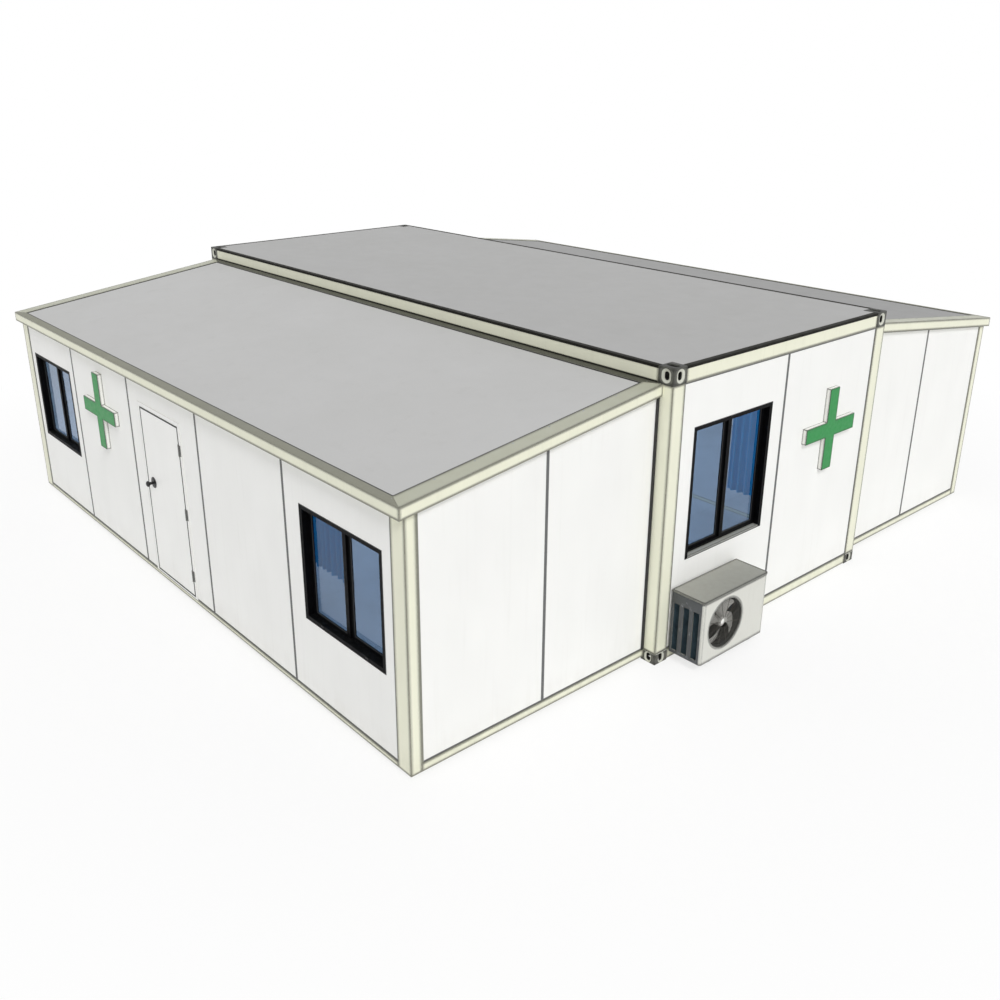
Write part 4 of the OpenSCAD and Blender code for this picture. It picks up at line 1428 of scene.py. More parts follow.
@dataclass
class RoofDetails:
    """Sealing strips; flashing plates and edge caps coloured dark as painted shade; frame corner welds and
    screws of the roofs. Millimetres.
    """

    strip: float = 20.0
    strip_proud: float = 2.0
    bare_share: float = 0.02
    cap_thick: float = 3.0
    cap_wide: float = 50.0
    cap_drop: float = 24.0
    coating: float = 1.5
    upstand: float = 18.0
    screw_pitch: float = 400.0
    screw_inset: float = 30.0
    screw_head: float = 5.5
    screw_washer: float = 9.0
    bead: float = 4.0
    bead_share: float = 0.14

    def build(self) -> None:
        """Dresses the two wing roofs and the roof of the core."""
        strips, shade_flashings, ridge_shade_plates, eave_shade_plates = Stock(), Stock(), Stock(), Stock()
        screws: list[tuple[Vector, Vector]] = []
        beads = []
        for wing in ("front", "rear"):
            inner, outer = (solids(f"{wing}_roof_{part}")[0].cap() for part in ("panel", "frame"))
            slope = (inner[1] - inner[0]).cross(inner[3] - inner[0]).normalized()
            strips.border(inner, slope, self.strip, 0.0, self.strip_proud, 2)
            rim = self.lifted(inner, outer)
            low_side = 0 if outer[0].z < outer[2].z else 2
            for i in (0, 2):
                j = i + 1
                band = [outer[i].lerp(rim[i], self.bare_share), outer[j].lerp(rim[j], self.bare_share),
                        rim[j], rim[i]]
                # Painted shade: plates over the frame's top bands, coloured dark to stand for the shade there
                (eave_shade_plates if i == low_side else ridge_shade_plates).plate(band, slope, self.strip_proud)
            self.upstands(shade_flashings, outer)
            row = moved_in(rim, slope, -self.screw_inset)
            for a, b in zip(row, row[1:] + row[:1]):
                if abs(a.y - b.y) > TINY:
                    steps = max(1, round((b - a).length / (self.screw_pitch * MM)))
                    screws += [(a.lerp(b, i / steps), slope) for i in range(steps + 1)]
            beads += [[i, o.lerp(i, self.bead_share)] for i, o in zip(rim, outer)]
        for beam in solids("core_roof_beams"):
            # Painted shade: each beam gets a dark cap over its top
            shade_flashings.loft(self.beam_cap(beam))
        self.core_coating()
        strips.fit("roof_sealing_strips", RUBBER)
        shade_flashings.fit("roof_edge_shade_flashings", BEAM_SHADE_FLASHING)
        ridge_shade_plates.fit("ridge_shade_flashings", RIDGE_SHADE_PLATE)
        eave_shade_plates.fit("eave_shade_flashings", EAVE_SHADE_PLATE)
        ScrewRow().lay("roof_screws", screw_points(screws), ZINC,
                       {"Head": self.screw_head, "Washer": self.screw_washer}, slot=Slot.ZINC)
        WeldBead().lay("roof_frame_welds", path_mesh(beads), IVORY,
                       {"Radius": self.bead, "Pitch": self.bead}, slot=Slot.IVORY)

    def beam_cap(self, beam: Block) -> list[list[Vector]]:
        """An angle trim over a beam's top and the upper part of its outer face.

        Args:
            beam: A roof beam of the core.

        Returns:
            The trim's outline at both ends of the beam.
        """
        axis, sign = beam.facing
        face = (beam.hi if sign > 0 else beam.lo)[axis.value]
        thick, top = self.cap_thick * MM, beam.hi.z
        foot, back = top - self.cap_drop * MM, face - sign * self.cap_wide * MM
        outline = [(back, top), (back, top + thick), (face + sign * thick, top + thick),
                   (face + sign * thick, foot), (face, foot), (face, top)]
        return [[Vector((across, end.y, z) if axis is Axis.X else (end.x, across, z))
                 for across, z in outline] for end in (beam.lo, beam.hi)]

    def core_coating(self) -> None:
        """The core's roof coating, rolled on over the sheet and the inner part of each beam."""
        sheet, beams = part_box("core_roof_panel")[1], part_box("core_roof_beams")[1]
        cap = self.cap_wide * MM
        outer_x, outer_y = beams.x - cap, beams.y - cap
        inner_x = max(b.hi.x for b in solids("core_roof_beams") if b.middle.x < 1)
        inner_y = max(b.hi.y for b in solids("core_roof_beams") if b.middle.x > 1)
        corner = [(inner_x, outer_y), (inner_x, inner_y), (outer_x, inner_y)]
        outline = [Vector((sx * x, sy * y, beams.z)) for sx, sy in ((1, 1), (1, -1), (-1, -1), (-1, 1))
                   for x, y in (corner if sx == sy else reversed(corner))]
        coating = Stock()
        coating.plate(outline, unit(Axis.Z), self.coating, (beams.z - sheet.z) / MM + 1)
        coating.fit("core_roof_coating", CORE_ROOF, slot=Slot.ROOF)

    def upstands(self, stock: Stock, outer: Sequence[Vector]) -> None:
        """The foot of the ridge flashing, turned up against the core's beam.

        Args:
            stock: Where it goes.
            outer: Corners of the wing's roof frame.
        """
        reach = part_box("top_castings")[1].x - solids("top_castings")[0].size.x
        ridge = min(outer, key=lambda p: abs(p.y))
        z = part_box("core_roof_beams")[0].z + self.upstand * MM / 2
        stock.bar([Vector((x, ridge.y, z)) for x in (-reach, reach)], unit(Axis.Y, ridge.y), self.upstand,
                  self.cap_thick)

    def lifted(self, inner: Sequence[Vector], outer: Sequence[Vector]) -> list[Vector]:
        """The sheet's corners raised to the top of the frame.

        Args:
            inner: Corners of the sheet.
            outer: Corners of the frame, in the same order.

        Returns:
            The raised corners.
        """
        low, high = (pick(outer, key=lambda p: p.z) for pick in (min, max))
        return [Vector((p.x, p.y, low.z + (p.y - low.y) / (high.y - low.y) * (high.z - low.z)))
                for p in inner]


@dataclass
class LevellingFeet:
    """Screw feet under the wings: pad, plate, spindle and nut. Millimetres."""

    pad: float = 4.0
    plate: float = 8.0
    spindle: float = 15.0
    nut: float = 27.0
    nut_height: float = 16.0

    def build(self) -> None:
        """Stands one foot in the place of each solid."""
        stock = Stock()
        flange, nut = self.pad + self.plate, self.nut
        for block in solids("wing_feet"):
            base = Vector((*block.middle.xy, block.lo.z))
            radius, height = block.size.x / MM / 2, block.size.z / MM
            top = height - 2
            low = top - self.nut_height
            for sides, number, profile in (
                    (32, 1, [(radius - 2, 0), (radius, 1), (radius, self.pad)]),
                    (32, 0, [(radius - 1, self.pad), (radius - 1, flange - 2), (radius - 5, flange),
                             (2 * self.spindle, flange + 2)]),
                    (20, 0, [(self.spindle, flange), (self.spindle, height)]),
                    (6, 0, [(nut - 3, low), (nut, low + 2), (nut, top - 2), (nut - 3, top)])):
                stock.turned(profile, base, Axis.Z, sides, number=number)
        stock.fit("levelling_feet", ZINC, RUBBER, slot=Slot.ZINC, replaced="wing_feet", smooth=30)


@dataclass
class SlidingWindows:
    """Gaskets, sealant, tracks, weep caps and latches of the sliding windows. Millimetres."""

    gasket: float = 7.0
    sealant: float = 7.0
    sealant_proud: float = 2.5
    cap_length: float = 38.0
    cap_height: float = 12.0
    cap_deep: float = 4.0
    cap_up: float = 22.0
    cap_shares: tuple[float, float] = (0.22, 0.78)
    latch_height: float = 70.0
    latch_width: float = 22.0
    latch_deep: float = 16.0
    latch_plate: float = 5.0
    latch_grip: float = 11.0
    latch_aside: float = 20.0

    def build(self) -> None:
        """Dresses every window."""
        self.glazing()
        self.surrounds()
        self.latches()

    def glazing(self) -> None:
        """Wedge gaskets that hold each pane, outside and inside, a millimetre below the sash's face."""
        stock = Stock()
        sash, pane = (solids(node)[0] for node in ("window_sashes", "window_glass"))
        across = sash.facing[0].value
        depth = (sash.size[across] - pane.size[across]) / 2 / MM - 1
        for pane in solids("window_glass"):
            axis, sign = pane.facing
            for side in (sign, -sign):
                stock.border(*pane.face(axis, side), self.gasket, 0.0, depth, 0.0)
        stock.fit("glazing_gaskets", RUBBER)

    def surrounds(self) -> None:
        """Sealant round each frame and caps over the weep holes."""
        sealant, caps = Stock(), Stock()
        for block in solids("window_frames"):
            corners, out = block.face(*block.facing)
            sealant.border(corners, out, 0.0, self.sealant, self.sealant_proud, 1)
            if block.facing[0] is Axis.X:
                continue
            half = (corners[1] - corners[0]).normalized() * (self.cap_length * MM / 2)
            for share in self.cap_shares:
                middle = corners[0].lerp(corners[1], share)
                middle.z = block.lo.z + self.cap_up * MM
                caps.bar((middle - half, middle + half), out, self.cap_height, self.cap_deep, 1)
        sealant.fit("window_sealant", SEALANT, bevel=1)
        caps.fit("weep_caps", RUBBER, bevel=1.2)

    def latches(self) -> None:
        """A latch on the meeting stile of each inner sash, on the room side."""
        stock = Stock()
        for block in solids("window_frames"):
            axis, sign = block.facing
            inner = [b for b in solids("window_sashes")
                     if (b.middle - block.middle).length < 1 and b.facing[0] is axis]
            deepest = min(inner, key=lambda b: abs(b.middle[axis.value]))
            corners, out = deepest.face(axis, -sign)
            across, middle = 1 - axis.value, block.middle
            aside = deepest.middle[across] - middle[across]
            middle[axis.value] = corners[0][axis.value]
            middle[across] += math.copysign(self.latch_aside * MM, aside)
            stock.upright(middle, self.latch_height, out, self.latch_width, self.latch_plate, 0.5)
            stock.upright(middle + unit(Axis.Z) * (self.latch_height * MM / 12), self.latch_height / 2, out,
                          self.latch_grip, self.latch_deep)
        stock.fit("window_latches", BLACK_FRAME, bevel=1.5, slot=Slot.BLACK)


@dataclass
class EntranceDoor:
    """Bulb seal, doorway seal, threshold ribs, hinge screws and lock plates. Millimetres."""

    bulb: float = 3.0
    seal: float = 5.0
    gasket: float = 16.0
    rose_wide: float = 16.0
    rose_thick: float = 6.0
    screw: float = 3.2
    screw_head: float = 1.92
    screw_high: float = 0.96
    screw_shares: tuple[float, ...] = (0.15, 0.5, 0.85)
    plate_height: float = 150.0
    plate_width: float = 24.0
    plate_thick: float = 1.0
    plate_round: float = 0.4
    plate_over: float = 3.0
    plate_in: float = 2.0
    sill_gap: float = 6.0
    hinge_proud: float = 3.0
    pin_clear: float = 10.0
    rib_pitch: float = 7.0
    rib: Triple = (2.5, 1.6, 1.2)

    def __post_init__(self) -> None:
        """Reads the leaf's box from the frame."""
        self.lo, self.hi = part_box("door_leaf")

    def build(self) -> None:
        """Dresses the doorway and the leaf."""
        self.seals()
        self.threshold()
        for name, node, body, side in (("hinge_screws_frame", "door_hinges_fixed", Body.BUILDING, 1),
                                       ("hinge_screws_leaf", "door_hinges_moving", Body.DOOR, -1)):
            self.hinge_screws(name, node, body, side)
        self.lock_plates()
        self.rose_rings()

    def seals(self) -> None:
        """A seal round the doorway's outer edge, and a bulb seal against the stop."""
        lo, hi = self.lo, self.hi
        around, gasket = Stock(), Stock()
        around.border(*solids("door_frame")[0].face(Axis.Y, -1), 0.0, self.seal, 0.5, 8)
        around.fit("doorway_seal", WHITE_SEALANT)
        gasket.border(*joined(solids("door_leaf")).face(Axis.Y, -1), self.gasket, 0.0, self.plate_thick, 1)
        gasket.fit("leaf_edge_gasket", RUBBER, body=Body.DOOR)
        stop, y = self.bulb * 2 * MM, hi.y + self.bulb * MM
        path = [Vector((x, y, z)) for x, z in ((lo.x + stop, lo.z), (lo.x + stop, hi.z - stop),
                                               (hi.x - stop, hi.z - stop), (hi.x - stop, lo.z))]
        Cord().lay("door_bulb_seal", path_mesh([path]), RUBBER, {"Radius": self.bulb, "Sides": 10})

    def threshold(self) -> None:
        """Zinc-plated threshold plate with ribs along it."""
        lo, hi = self.lo, self.hi
        outer, inner = (corner.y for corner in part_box("door_frame"))
        top = lo.z - self.sill_gap * MM
        plate = Stock()
        over, set_in, thick = (s * MM for s in (self.plate_over, self.plate_in, self.plate_thick))
        plate.box((lo.x - over, outer + set_in, top), (hi.x + over, inner - over, top + thick))
        plate.fit("threshold_plate", ZINC, bevel=self.plate_round, slot=Slot.ZINC)
        pitch, wide, high, level = (s * MM for s in (self.rib_pitch, *self.rib))
        Slats().lay("threshold_ribs", None, ZINC, {
            "Count": int((inner - outer) / pitch) - 1, "Pitch": (0, pitch, 0),
            "Start": ((lo.x + hi.x) / 2, outer + pitch, top + level),
            "Slat": (hi.x - lo.x, wide, high)}, slot=Slot.ZINC)

    def hinge_screws(self, name: str, node: str, body: Body, side: int) -> None:
        """Three countersunk screws in each hinge plate.

        Args:
            name: Name of the piece.
            node: Frame node of the plates.
            body: Body that they move with.
            side: Side of the hinge line that they lie on, 1 or -1 along X.
        """
        pin = joint_point(Body.DOOR).x + side * self.pin_clear * MM
        face = self.lo.y - self.hinge_proud * MM
        groups: list[list[Block]] = []
        for part in sorted(solids(node), key=lambda b: b.middle.z):
            if not groups or part.middle.z - groups[-1][-1].middle.z > 0.2:
                groups.append([])
            groups[-1].append(part)
        places = []
        for block in (joined(g) for g in groups):
            x = ((block.hi if side > 0 else block.lo).x + pin) / 2
            places += [(Vector((x, face, block.lo.z + share * block.size.z)), unit(Axis.Y, -1))
                       for share in self.screw_shares]
        ScrewRow().lay(name, screw_points(places), ZINC, {
            "Head": self.screw_head, "Height": self.screw_high, "Washer": self.screw, "Edge": 0.8},
            body=body, slot=Slot.ZINC)

    def rose_rings(self) -> None:
        """A black ring on each face of the leaf, round the rose that turns with the knob."""
        lo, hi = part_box("door_knob")
        radius = (hi.x - lo.x) / 2 / MM + 1.5
        wide, thick = self.rose_wide, self.rose_thick
        profile = [(radius, 0.0), (radius + wide, 0.0), (radius + wide, thick * 0.7),
                   (radius + wide * 0.85, thick), (radius, thick)]
        stock = Stock()
        for y, sign in ((self.lo.y, -1), (self.hi.y, 1)):
            middle = Vector(((lo.x + hi.x) / 2, y, (lo.z + hi.z) / 2))
            stock.turned([(r, sign * d) for r, d in profile], middle, Axis.Y, 40, looped=True)
        stock.fit("rose_rings", KNOB, body=Body.DOOR)

    def lock_plates(self) -> None:
        """Face plate on the leaf's edge and strike plate on the frame."""
        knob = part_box("door_knob")
        for name, body, gap, sign in (("lock_face_plate", Body.DOOR, 0.0, -1),
                                      ("strike_plate", Body.BUILDING, self.sill_gap, 1)):
            middle = Vector((self.lo.x - gap * MM, (self.lo.y + self.hi.y) / 2, (knob[0].z + knob[1].z) / 2))
            stock = Stock()
            stock.upright(middle, self.plate_height, unit(Axis.X, sign), self.plate_width,
                          self.plate_thick, 0.5)
            stock.fit(name, ZINC, bevel=self.plate_round, body=body, slot=Slot.ZINC)


@dataclass
class RaisedCrosses:
    """Acrylic faces of the two raised first-aid crosses. Millimetres."""

    face: float = 3.0
    edge: float = 1.0

    def build(self) -> None:
        """Lays a face with rounded edges on each cross."""
        stock = Stock()
        parts = solids("wall_crosses")
        front = [b for b in parts if b.middle.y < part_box("core_posts")[0].y - 1]
        for cross in (joined(front), joined(b for b in parts if b not in front)):
            axis, sign = cross.facing
            across, middle, reach = unit(Axis(1 - axis.value)), cross.middle, cross.size.z / 2
            arm = max(abs((p - middle).dot(across)) for p in cross.points if p.z > cross.hi.z - TINY)
            middle[axis.value] = (cross.hi if sign > 0 else cross.lo)[axis.value]
            outline = [(arm, reach), (arm, arm), (reach, arm), (reach, -arm), (arm, -arm), (arm, -reach),
                       (-arm, -reach), (-arm, -arm), (-reach, -arm), (-reach, arm), (-arm, arm),
                       (-arm, reach)]
            stock.plate([middle + across * a + unit(Axis.Z) * b for a, b in outline], unit(axis, sign),
                        self.face)
        stock.fit("cross_faces", GREEN_ACRYLIC, bevel=self.edge, slot=Slot.CROSS, smooth=20)


@dataclass
class PrivacyCurtains:
    """Pleated curtains that hang from the ceiling tracks, with their hooks. Millimetres."""

    pleat: float = 100.0
    fullness: float = 1.5
    cloth: float = 1.2
    steps: int = 12
    rows: int = 18
    drift: float = 10.0
    hook: Triple = (4.0, 2.5, 30.0)

    def build(self) -> None:
        """Hangs one curtain with its hooks in the place of each solid."""
        pitch = self.pleat * MM
        wide, thick, high = (s * MM for s in self.hook)
        for block in solids("privacy_curtains"):
            name = "front_wing_curtain" if block.middle.y < 0 else "core_curtain"
            size = block.size
            piece = fit(name, self.hung(block), CURTAIN_CLOTH, slot=Slot.CURTAIN,
                        replaced="privacy_curtains", smooth=80)
            hooks = Slats().lay(f"{name}_hooks", None, ZINC, {
                "Count": round(size.x / pitch), "Pitch": (pitch, 0, 0), "Slat": (wide, thick, high),
                "Start": (block.lo.x + pitch / 2, block.middle.y, block.hi.z - high / 2)}, slot=Slot.ZINC)

    def wave(self, across: float, down: float, size: Vector) -> tuple[float, float]:
        """Where a point of the flat cloth hangs: pleats, uneven from one to the next, fuller lower down.

        Args:
            across: Place across the curtain, from 0 to 1.
            down: Place down the curtain, from 0 at its header to 1 at its hem.
            size: The curtain's width, depth and height in metres.

        Returns:
            Sideways move and depth from its middle, in metres.
        """
        turn = 2 * math.pi * across * size.x / (self.pleat * MM)
        uneven = 0.5 + 0.5 * math.sin(turn * 0.37 + 1.3)
        full = (size.y - self.cloth * MM) / 2 * (0.72 + 0.28 * down)
        depth = full * (1 - 0.25 * uneven * down) * math.sin(turn + 0.5 * down * math.sin(turn * 0.23))
        return self.drift * MM * down * math.sin(math.pi * across) * math.sin(turn * 0.31), depth

    def hung(self, block: Block) -> bpy.types.Mesh:
        """The pleated cloth of one curtain, with the flat cloth as its map.

        Args:
            block: The space that it hangs in.

        Returns:
            The mesh.
        """
        size = block.size
        columns = round(size.x / (self.pleat * MM)) * self.steps
        half = unit(Axis.Y) * (self.cloth * MM / 2)
        start = Vector((block.lo.x, block.middle.y, block.hi.z))
        rings = []
        for across in (i / columns for i in range(columns + 1)):
            side = []
            for down in (k / self.rows for k in range(self.rows + 1)):
                drift, depth = self.wave(across, down, size)
                side.append(start + Vector((across * size.x + drift, depth, -down * size.z)))
            rings.append([p + half for p in side] + [p - half for p in reversed(side)])
        stock = Stock()
        stock.loft(rings)
        mesh = stock.mesh("curtain")
        flat = mesh.uv_layers.new(name="cloth")
        for loop in mesh.loops:
            place = mesh.vertices[loop.vertex_index].co
            flat.data[loop.index].uv = (place.x * self.fullness, place.z)
        return mesh


@dataclass
class AirConditioner:
    """Fan, wire guard, shroud, coil, side grille and fixings of the outdoor unit. Millimetres."""

    blades: int = 4
    hub: float = 56.0
    cap: float = 26.0
    tip: float = 232.0
    blade_thick: float = 3.0
    blade_rings: int = 12
    blade_sides: int = 20
    wire: float = 1.8
    ring_pitch: float = 17.0
    spokes: int = 12
    spoke: float = 2.4
    spoke_back: float = 3.36
    spoke_in: float = 6.0
    spoke_short: float = 1.0
    lip: float = 5.0
    fin_pitch: float = 7.0
    fin_deep: float = 26.0
    fin_thick: float = 0.8
    fin_short: float = 4.0
    tubes: int = 10
    tube: float = 4.0
    tube_in: float = 6.0
    bar_proud: float = 3.0
    strip_proud: float = 2.4
    strip_low: float = 4.0
    strip_high: float = 6.0
    bar_clear: float = 0.5
    bar_over: float = 12.0
    gasket: float = 2.0
    screw: float = 4.5
    screw_head: float = 3.15
    screw_in: float = 75.0
    screw_up: float = 22.0
    cover_high: float = 260.0
    cover_deep: float = 14.0

    def __post_init__(self) -> None:
        """Reads the fan's axis and the casing from the frame."""
        self.shaft = joint_point(Body.FAN)
        self.casing = solids("ac_casing")[0]
        # Where the flat side ends and the round front corner begins
        self.side_end = max(p.x for p in self.casing.points if abs(p.y - self.casing.lo.y) < TINY)

    def build(self) -> None:
        """Builds and dresses the unit."""
        self.fan()
        self.guard()
        self.shroud()
        self.coil()
        self.side_grille()
        self.fixings()

    def on_shaft(self, x: float) -> Vector:
        """The point of the fan's axis at a place along X."""
        return Vector((x, self.shaft.y, self.shaft.z))

    def blade(self) -> bpy.types.Mesh:
        """One swept blade on the X axis: a thin aerofoil that widens and twists towards its tip.

        Returns:
            Its mesh, standing on the shaft.
        """
        lo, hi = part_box("ac_fan")
        deep, root, half = hi.x - lo.x, self.hub - 6, self.blade_sides // 2
        rings = []
        for u in (i / self.blade_rings for i in range(self.blade_rings + 1)):
            radius = (root + u * (self.tip - root)) * MM
            sweep = 0.55 * u ** 1.4
            chord = (0.98 - 0.1 * u) * (1 if u < 0.85 else 1 - 0.9 * (u - 0.85))
            rise = deep * (0.86 - 0.3 * u)
            ring = []
            for k in range(self.blade_sides):
                share, side = (k / half, 1) if k <= half else (2 - k / half, -1)
                angle = sweep + (share - 0.5) * chord
                camber = 0.1 * deep * math.sin(math.pi * share)
                thick = self.blade_thick * MM / 2 * max(0.15, math.sin(math.pi * share) ** 0.5)
                x = (share - 0.5) * rise + camber + (side * thick if 0 < share < 1 else 0)
                ring.append(Vector((x, radius * math.sin(angle), radius * math.cos(angle))))
            rings.append(ring)
        stock = Stock()
        stock.loft(rings)
        return stock.mesh("blade")

    def fan(self) -> None:
        """Swept blades and a domed hub, in the place of the plain fan."""
        lo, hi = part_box("ac_fan")
        middle, half = self.on_shaft((lo.x + hi.x) / 2), (hi.x - lo.x) / 2 / MM
        Rotor().lay("fan_blades", self.blade(), FAN_PLASTIC, {"Count": self.blades, "Shaft": tuple(middle)},
                    body=Body.FAN, slot=Slot.FAN, replaced="ac_fan", smooth=50)
        hub, r, c = Stock(), self.hub, self.cap
        hub.turned([(r, 1 - half), (r, half * 0.55), (r * 0.94, half * 0.78), (r * 0.78, half * 0.9),
                    (c, half * 0.93)], middle, Axis.X, 40)
        hub.turned([(c, half * 0.6), (c, half * 0.94), (c * 0.8, half * 0.99), (c * 0.4, half)], middle,
                   Axis.X, 32, number=1)
        hub.fit("fan_hub", FAN_PLASTIC, FAN_HUB, body=Body.FAN, slot=Slot.FAN)

    def guard(self) -> None:
        """Wire guard: rings and spokes, in the place of the flat guard."""
        lo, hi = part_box("ac_fan_guard")
        middle, reach = self.on_shaft((lo.x + hi.x) / 2), (hi.z - lo.z) / 2
        rings, radius, tool = [], reach, Cord()
        while radius > self.hub * MM:
            rings.append(arc_path(middle, radius - self.wire * MM, 64))
            radius -= self.ring_pitch * MM
        tool.lay("guard_rings", path_mesh(rings, closed=True), GUARD_WIRE, {"Radius": self.wire, "Sides": 6},
                 slot=Slot.AC, replaced="ac_fan_guard")
        spokes, back = [], middle - unit(Axis.X) * (self.spoke_back * MM)
        for turn in (2 * math.pi * (k + 0.5) / self.spokes for k in range(self.spokes)):
            ray = Vector((0, math.cos(turn), math.sin(turn)))
            spokes.append([back + ray * (radius + self.spoke_in * MM),
                           back + ray * (reach - self.spoke_short * MM)])
        tool.lay("guard_spokes", path_mesh(spokes), GUARD_WIRE, {"Radius": self.spoke, "Sides": 6},
                 slot=Slot.AC)

    def shroud(self) -> None:
        """Rolled lip round the opening and the ring that the blades turn in."""
        lo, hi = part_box("ac_fan_guard")
        front = self.casing.hi.x
        r = min(math.hypot(p.y - self.shaft.y, p.z - self.shaft.z) for p in self.casing.points
                if p.x > front - TINY) / MM
        ring, tube = Stock(), Stock()
        ring.turned([(r - 1, -12), (r - 3, -6), (r - 2, -1.5), (r + self.lip, -0.2), (r + self.lip, -12)],
                    self.on_shaft(front), Axis.X, 72, looped=True)
        ring.fit("opening_lip", AC_WHITE, slot=Slot.AC)
        reach, inner, fan = (hi.z - lo.z) / 2 / MM, self.tip + 8, (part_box("ac_fan")[0].x - lo.x) / MM
        tube.turned([(reach + 2, -2), (inner, -16), (inner, fan), (inner + 14, fan - 12),
                     (inner + 16, fan - 12), (inner + 2, fan + 2), (inner + 2, -14), (reach + 2, -0.5)],
                    self.on_shaft(lo.x), Axis.X, 64, looped=True)
        tube.fit("fan_shroud", MOTOR, slot=Slot.MOTOR)

    def coil(self) -> None:
        """Fins and bent tubes along the back and the louvred side, in the place of the plain coil."""
        lo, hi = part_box("ac_coil")
        corner = [sorted({round(p[i], 4) for p in solids("ac_coil")[0].points})[1] for i in (0, 1)]
        back_x, side_y = (lo.x + corner[0]) / 2, (lo.y + corner[1]) / 2
        fin, pitch, thick = self.fin_deep * MM, self.fin_pitch * MM, self.fin_thick * MM
        high, z = hi.z - lo.z - self.fin_short * MM, (lo.z + hi.z) / 2
        for name, start, step, slat, run, replaced in (
                ("coil_fins_back", (back_x, lo.y + pitch, z), (0, pitch, 0), (fin, thick, high),
                 hi.y - lo.y, "ac_coil"),
                ("coil_fins_side", (lo.x + pitch, side_y, z), (pitch, 0, 0), (thick, fin, high),
                 hi.x - lo.x, None)):
            Slats().lay(name, None, FINS, {"Count": int(run / pitch) - 1, "Start": start, "Pitch": step,
                                           "Slat": slat}, slot=Slot.FINS, replaced=replaced)
        x, y = hi.x - self.tube_in * MM, hi.y - self.tube_in * MM
        tubes = [[Vector((x, side_y, level)), Vector((back_x, side_y, level)), Vector((back_x, y, level))]
                 for level in (lo.z + (k + 0.5) / self.tubes * high for k in range(self.tubes))]
        Cord().lay("coil_tubes", path_mesh(tubes), COPPER, {"Radius": self.tube, "Sides": 8}, slot=Slot.FINS)

    def side_grille(self) -> None:
        """Moulded grille over the louvred side, one bar between the slots, grey as painted shade of that
        side.
        """
        lo, hi = self.casing.lo, self.casing.hi
        side = [p for p in self.casing.points if abs(p.y - lo.y) < TINY]
        inside = [p.z for p in side if lo.z + TINY < p.z < hi.z - TINY]
        low, high = min(inside), max(inside)
        edges = [lo.x, *sorted({round(p.x, 4) for p in side if abs(p.z - low) < TINY}), self.side_end]
        stock, inner = Stock(), lo.y + SUNK
        bar, strip, clear, over = (s * MM for s in (self.bar_proud, self.strip_proud, self.bar_clear,
                                                    self.bar_over))
        for a, b in zip(edges[::2], edges[1::2]):
            stock.box((a + clear, lo.y - bar, low - over), (b - clear, inner, high + over))
        for z0, z1 in ((lo.z + self.strip_low * MM, low), (high, hi.z - self.strip_high * MM)):
            stock.box((edges[0], lo.y - strip, z0), (edges[-1], inner, z1))
        stock.fit("side_grille", AC_SIDE_SHADE, bevel=0.8, slot=Slot.AC)

    def fixings(self) -> None:
        """Lid gasket, casing screws and the service cover on the far side."""
        lo, hi = self.casing.lo, self.casing.hi
        rim = [p for p in self.casing.points if abs(p.z - hi.z) < TINY]
        outline = [rim[i] - unit(Axis.Z) * (self.gasket * MM) for i in convex_hull_2d([p.xy for p in rim])]
        Cord().lay("lid_gasket", path_mesh([outline], closed=True), RUBBER,
                   {"Radius": self.gasket, "Sides": 8})
        inset, edge = self.screw_in * MM, self.screw_up * MM
        heights = (lo.z + edge, hi.z - edge)
        places = [(Vector((hi.x - self.screw * MM, y, z)), unit(Axis.X))
                  for y in (lo.y + inset, hi.y - inset) for z in heights]
        places += [(Vector((x, hi.y, z)), unit(Axis.Y)) for x in (lo.x + edge, self.side_end - edge)
                   for z in heights]
        ScrewRow().lay("casing_screws", screw_points(places), ZINC, {
            "Head": self.screw_head, "Washer": self.screw, "Height": 2.5, "Edge": 1.0}, slot=Slot.ZINC)
        cover = Stock()
        cover.box((lo.x + 2 * edge, hi.y - SUNK, lo.z + 2 * edge),
                  (self.side_end - 2 * edge, hi.y + self.cover_deep * MM, lo.z + self.cover_high * MM))
        cover.fit("service_cover", AC_WHITE, bevel=4, slot=Slot.AC)


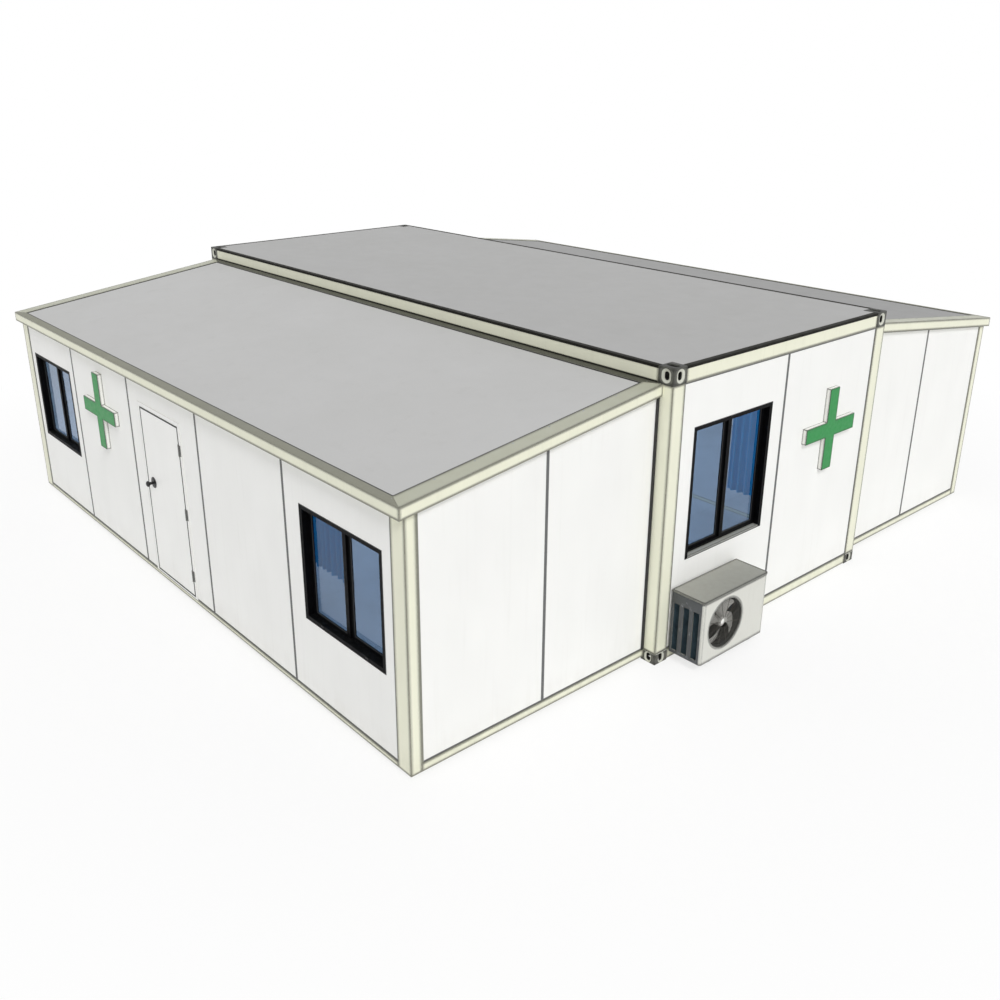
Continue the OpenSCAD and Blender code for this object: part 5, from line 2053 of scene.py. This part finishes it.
@dataclass
class Studio:
    """Plain floor, soft light and the camera. Lengths in metres."""

    floor_reach: float = 80.0
    sky: float = 0.56
    sun: float = 1.6
    sun_from: Triple = (0.62, -0.27, 0.735)
    sun_softness: float = 20.0
    room_light: float = 30.0
    room_size: tuple[float, float] = (2.2, 2.0)
    room_height: float = 2.15
    rooms_x: Triple = (-2.6, 0.0, 2.6)
    rooms_y: Triple = (-3.0, 0.0, 3.0)
    eye: Triple = (9.636, -8.515, 5.335)
    heading: float = 49.33
    tilt: float = 20.96
    lens: float = 36.82
    shift: tuple[float, float] = (0.017, -0.038)

    def build(self) -> None:
        """Sets up floor, world, lamps and camera."""
        self.floor()
        self.world()
        self.lamps()
        self.camera()
        bpy.context.scene.view_settings.view_transform = "Standard"

    def floor(self) -> None:
        """A plain pale floor, 50 mm thick."""
        stock, r = Stock(), self.floor_reach
        stock.box((-r, -r, -0.05), (r, r, 0.0))
        mesh = stock.mesh("floor")
        mesh.materials.append(PALE_FLOOR.material())
        held("studio_floor", mesh)

    def world(self) -> None:
        """White to the eye, softer as a light."""
        world = bpy.data.worlds.new("studio")
        tree = emptied(world)
        soft, white = (add_node(tree, "ShaderNodeBackground", {"Color": linear(code), "Strength": strength})
                       for code, strength in (("F8F8F7", self.sky), ("FFFFFF", 1.0)))
        mixed = add_node(tree, "ShaderNodeMixShader", {0: seen(tree), 1: soft, 2: white})
        add_node(tree, "ShaderNodeOutputWorld", {"Surface": mixed})
        bpy.context.scene.world = world

    def lamps(self) -> None:
        """One soft sun, brighter on the end than on the door side, and a soft fill in each room."""
        lamp = bpy.data.lights.new("sun", "SUN")
        lamp.energy = self.sun
        lamp.angle = math.radians(self.sun_softness)
        held("sun", lamp).rotation_euler = Vector(self.sun_from).to_track_quat("Z", "Y").to_euler()
        for x in self.rooms_x:
            for y in self.rooms_y:
                fill = bpy.data.lights.new("room fill", "AREA")
                fill.shape = "RECTANGLE"
                fill.size, fill.size_y = self.room_size
                fill.energy = self.room_light
                holder = held("room_fill", fill)
                holder.location = (x, y, self.room_height)
                holder.visible_camera = False
                holder.visible_glossy = False
                holder.visible_transmission = False
        log.info("lamps: a sun and nine room fills")

    def camera(self) -> None:
        """The camera, turned to its heading and tilted down."""
        eye = bpy.data.cameras.new("camera")
        eye.lens = self.lens
        eye.sensor_width = 36.0
        eye.shift_x, eye.shift_y = self.shift
        eye.clip_end = 300.0
        camera = held("camera", eye)
        camera.location = self.eye
        camera.rotation_euler = (math.radians(90 - self.tilt), 0.0, math.radians(self.heading))
        bpy.context.scene.camera = camera


def main() -> None:
    """Builds the sub-assemblies in order."""
    logging.basicConfig(level=logging.INFO, format="%(name)s %(message)s")
    for part in (Paintwork(), CornerCastings(), WallSeals(), RoofDetails(), LevellingFeet(),
                 SlidingWindows(), EntranceDoor(), RaisedCrosses(), PrivacyCurtains(), AirConditioner(),
                 Studio()):
        part.build()


if __name__ == "__main__":
    main()
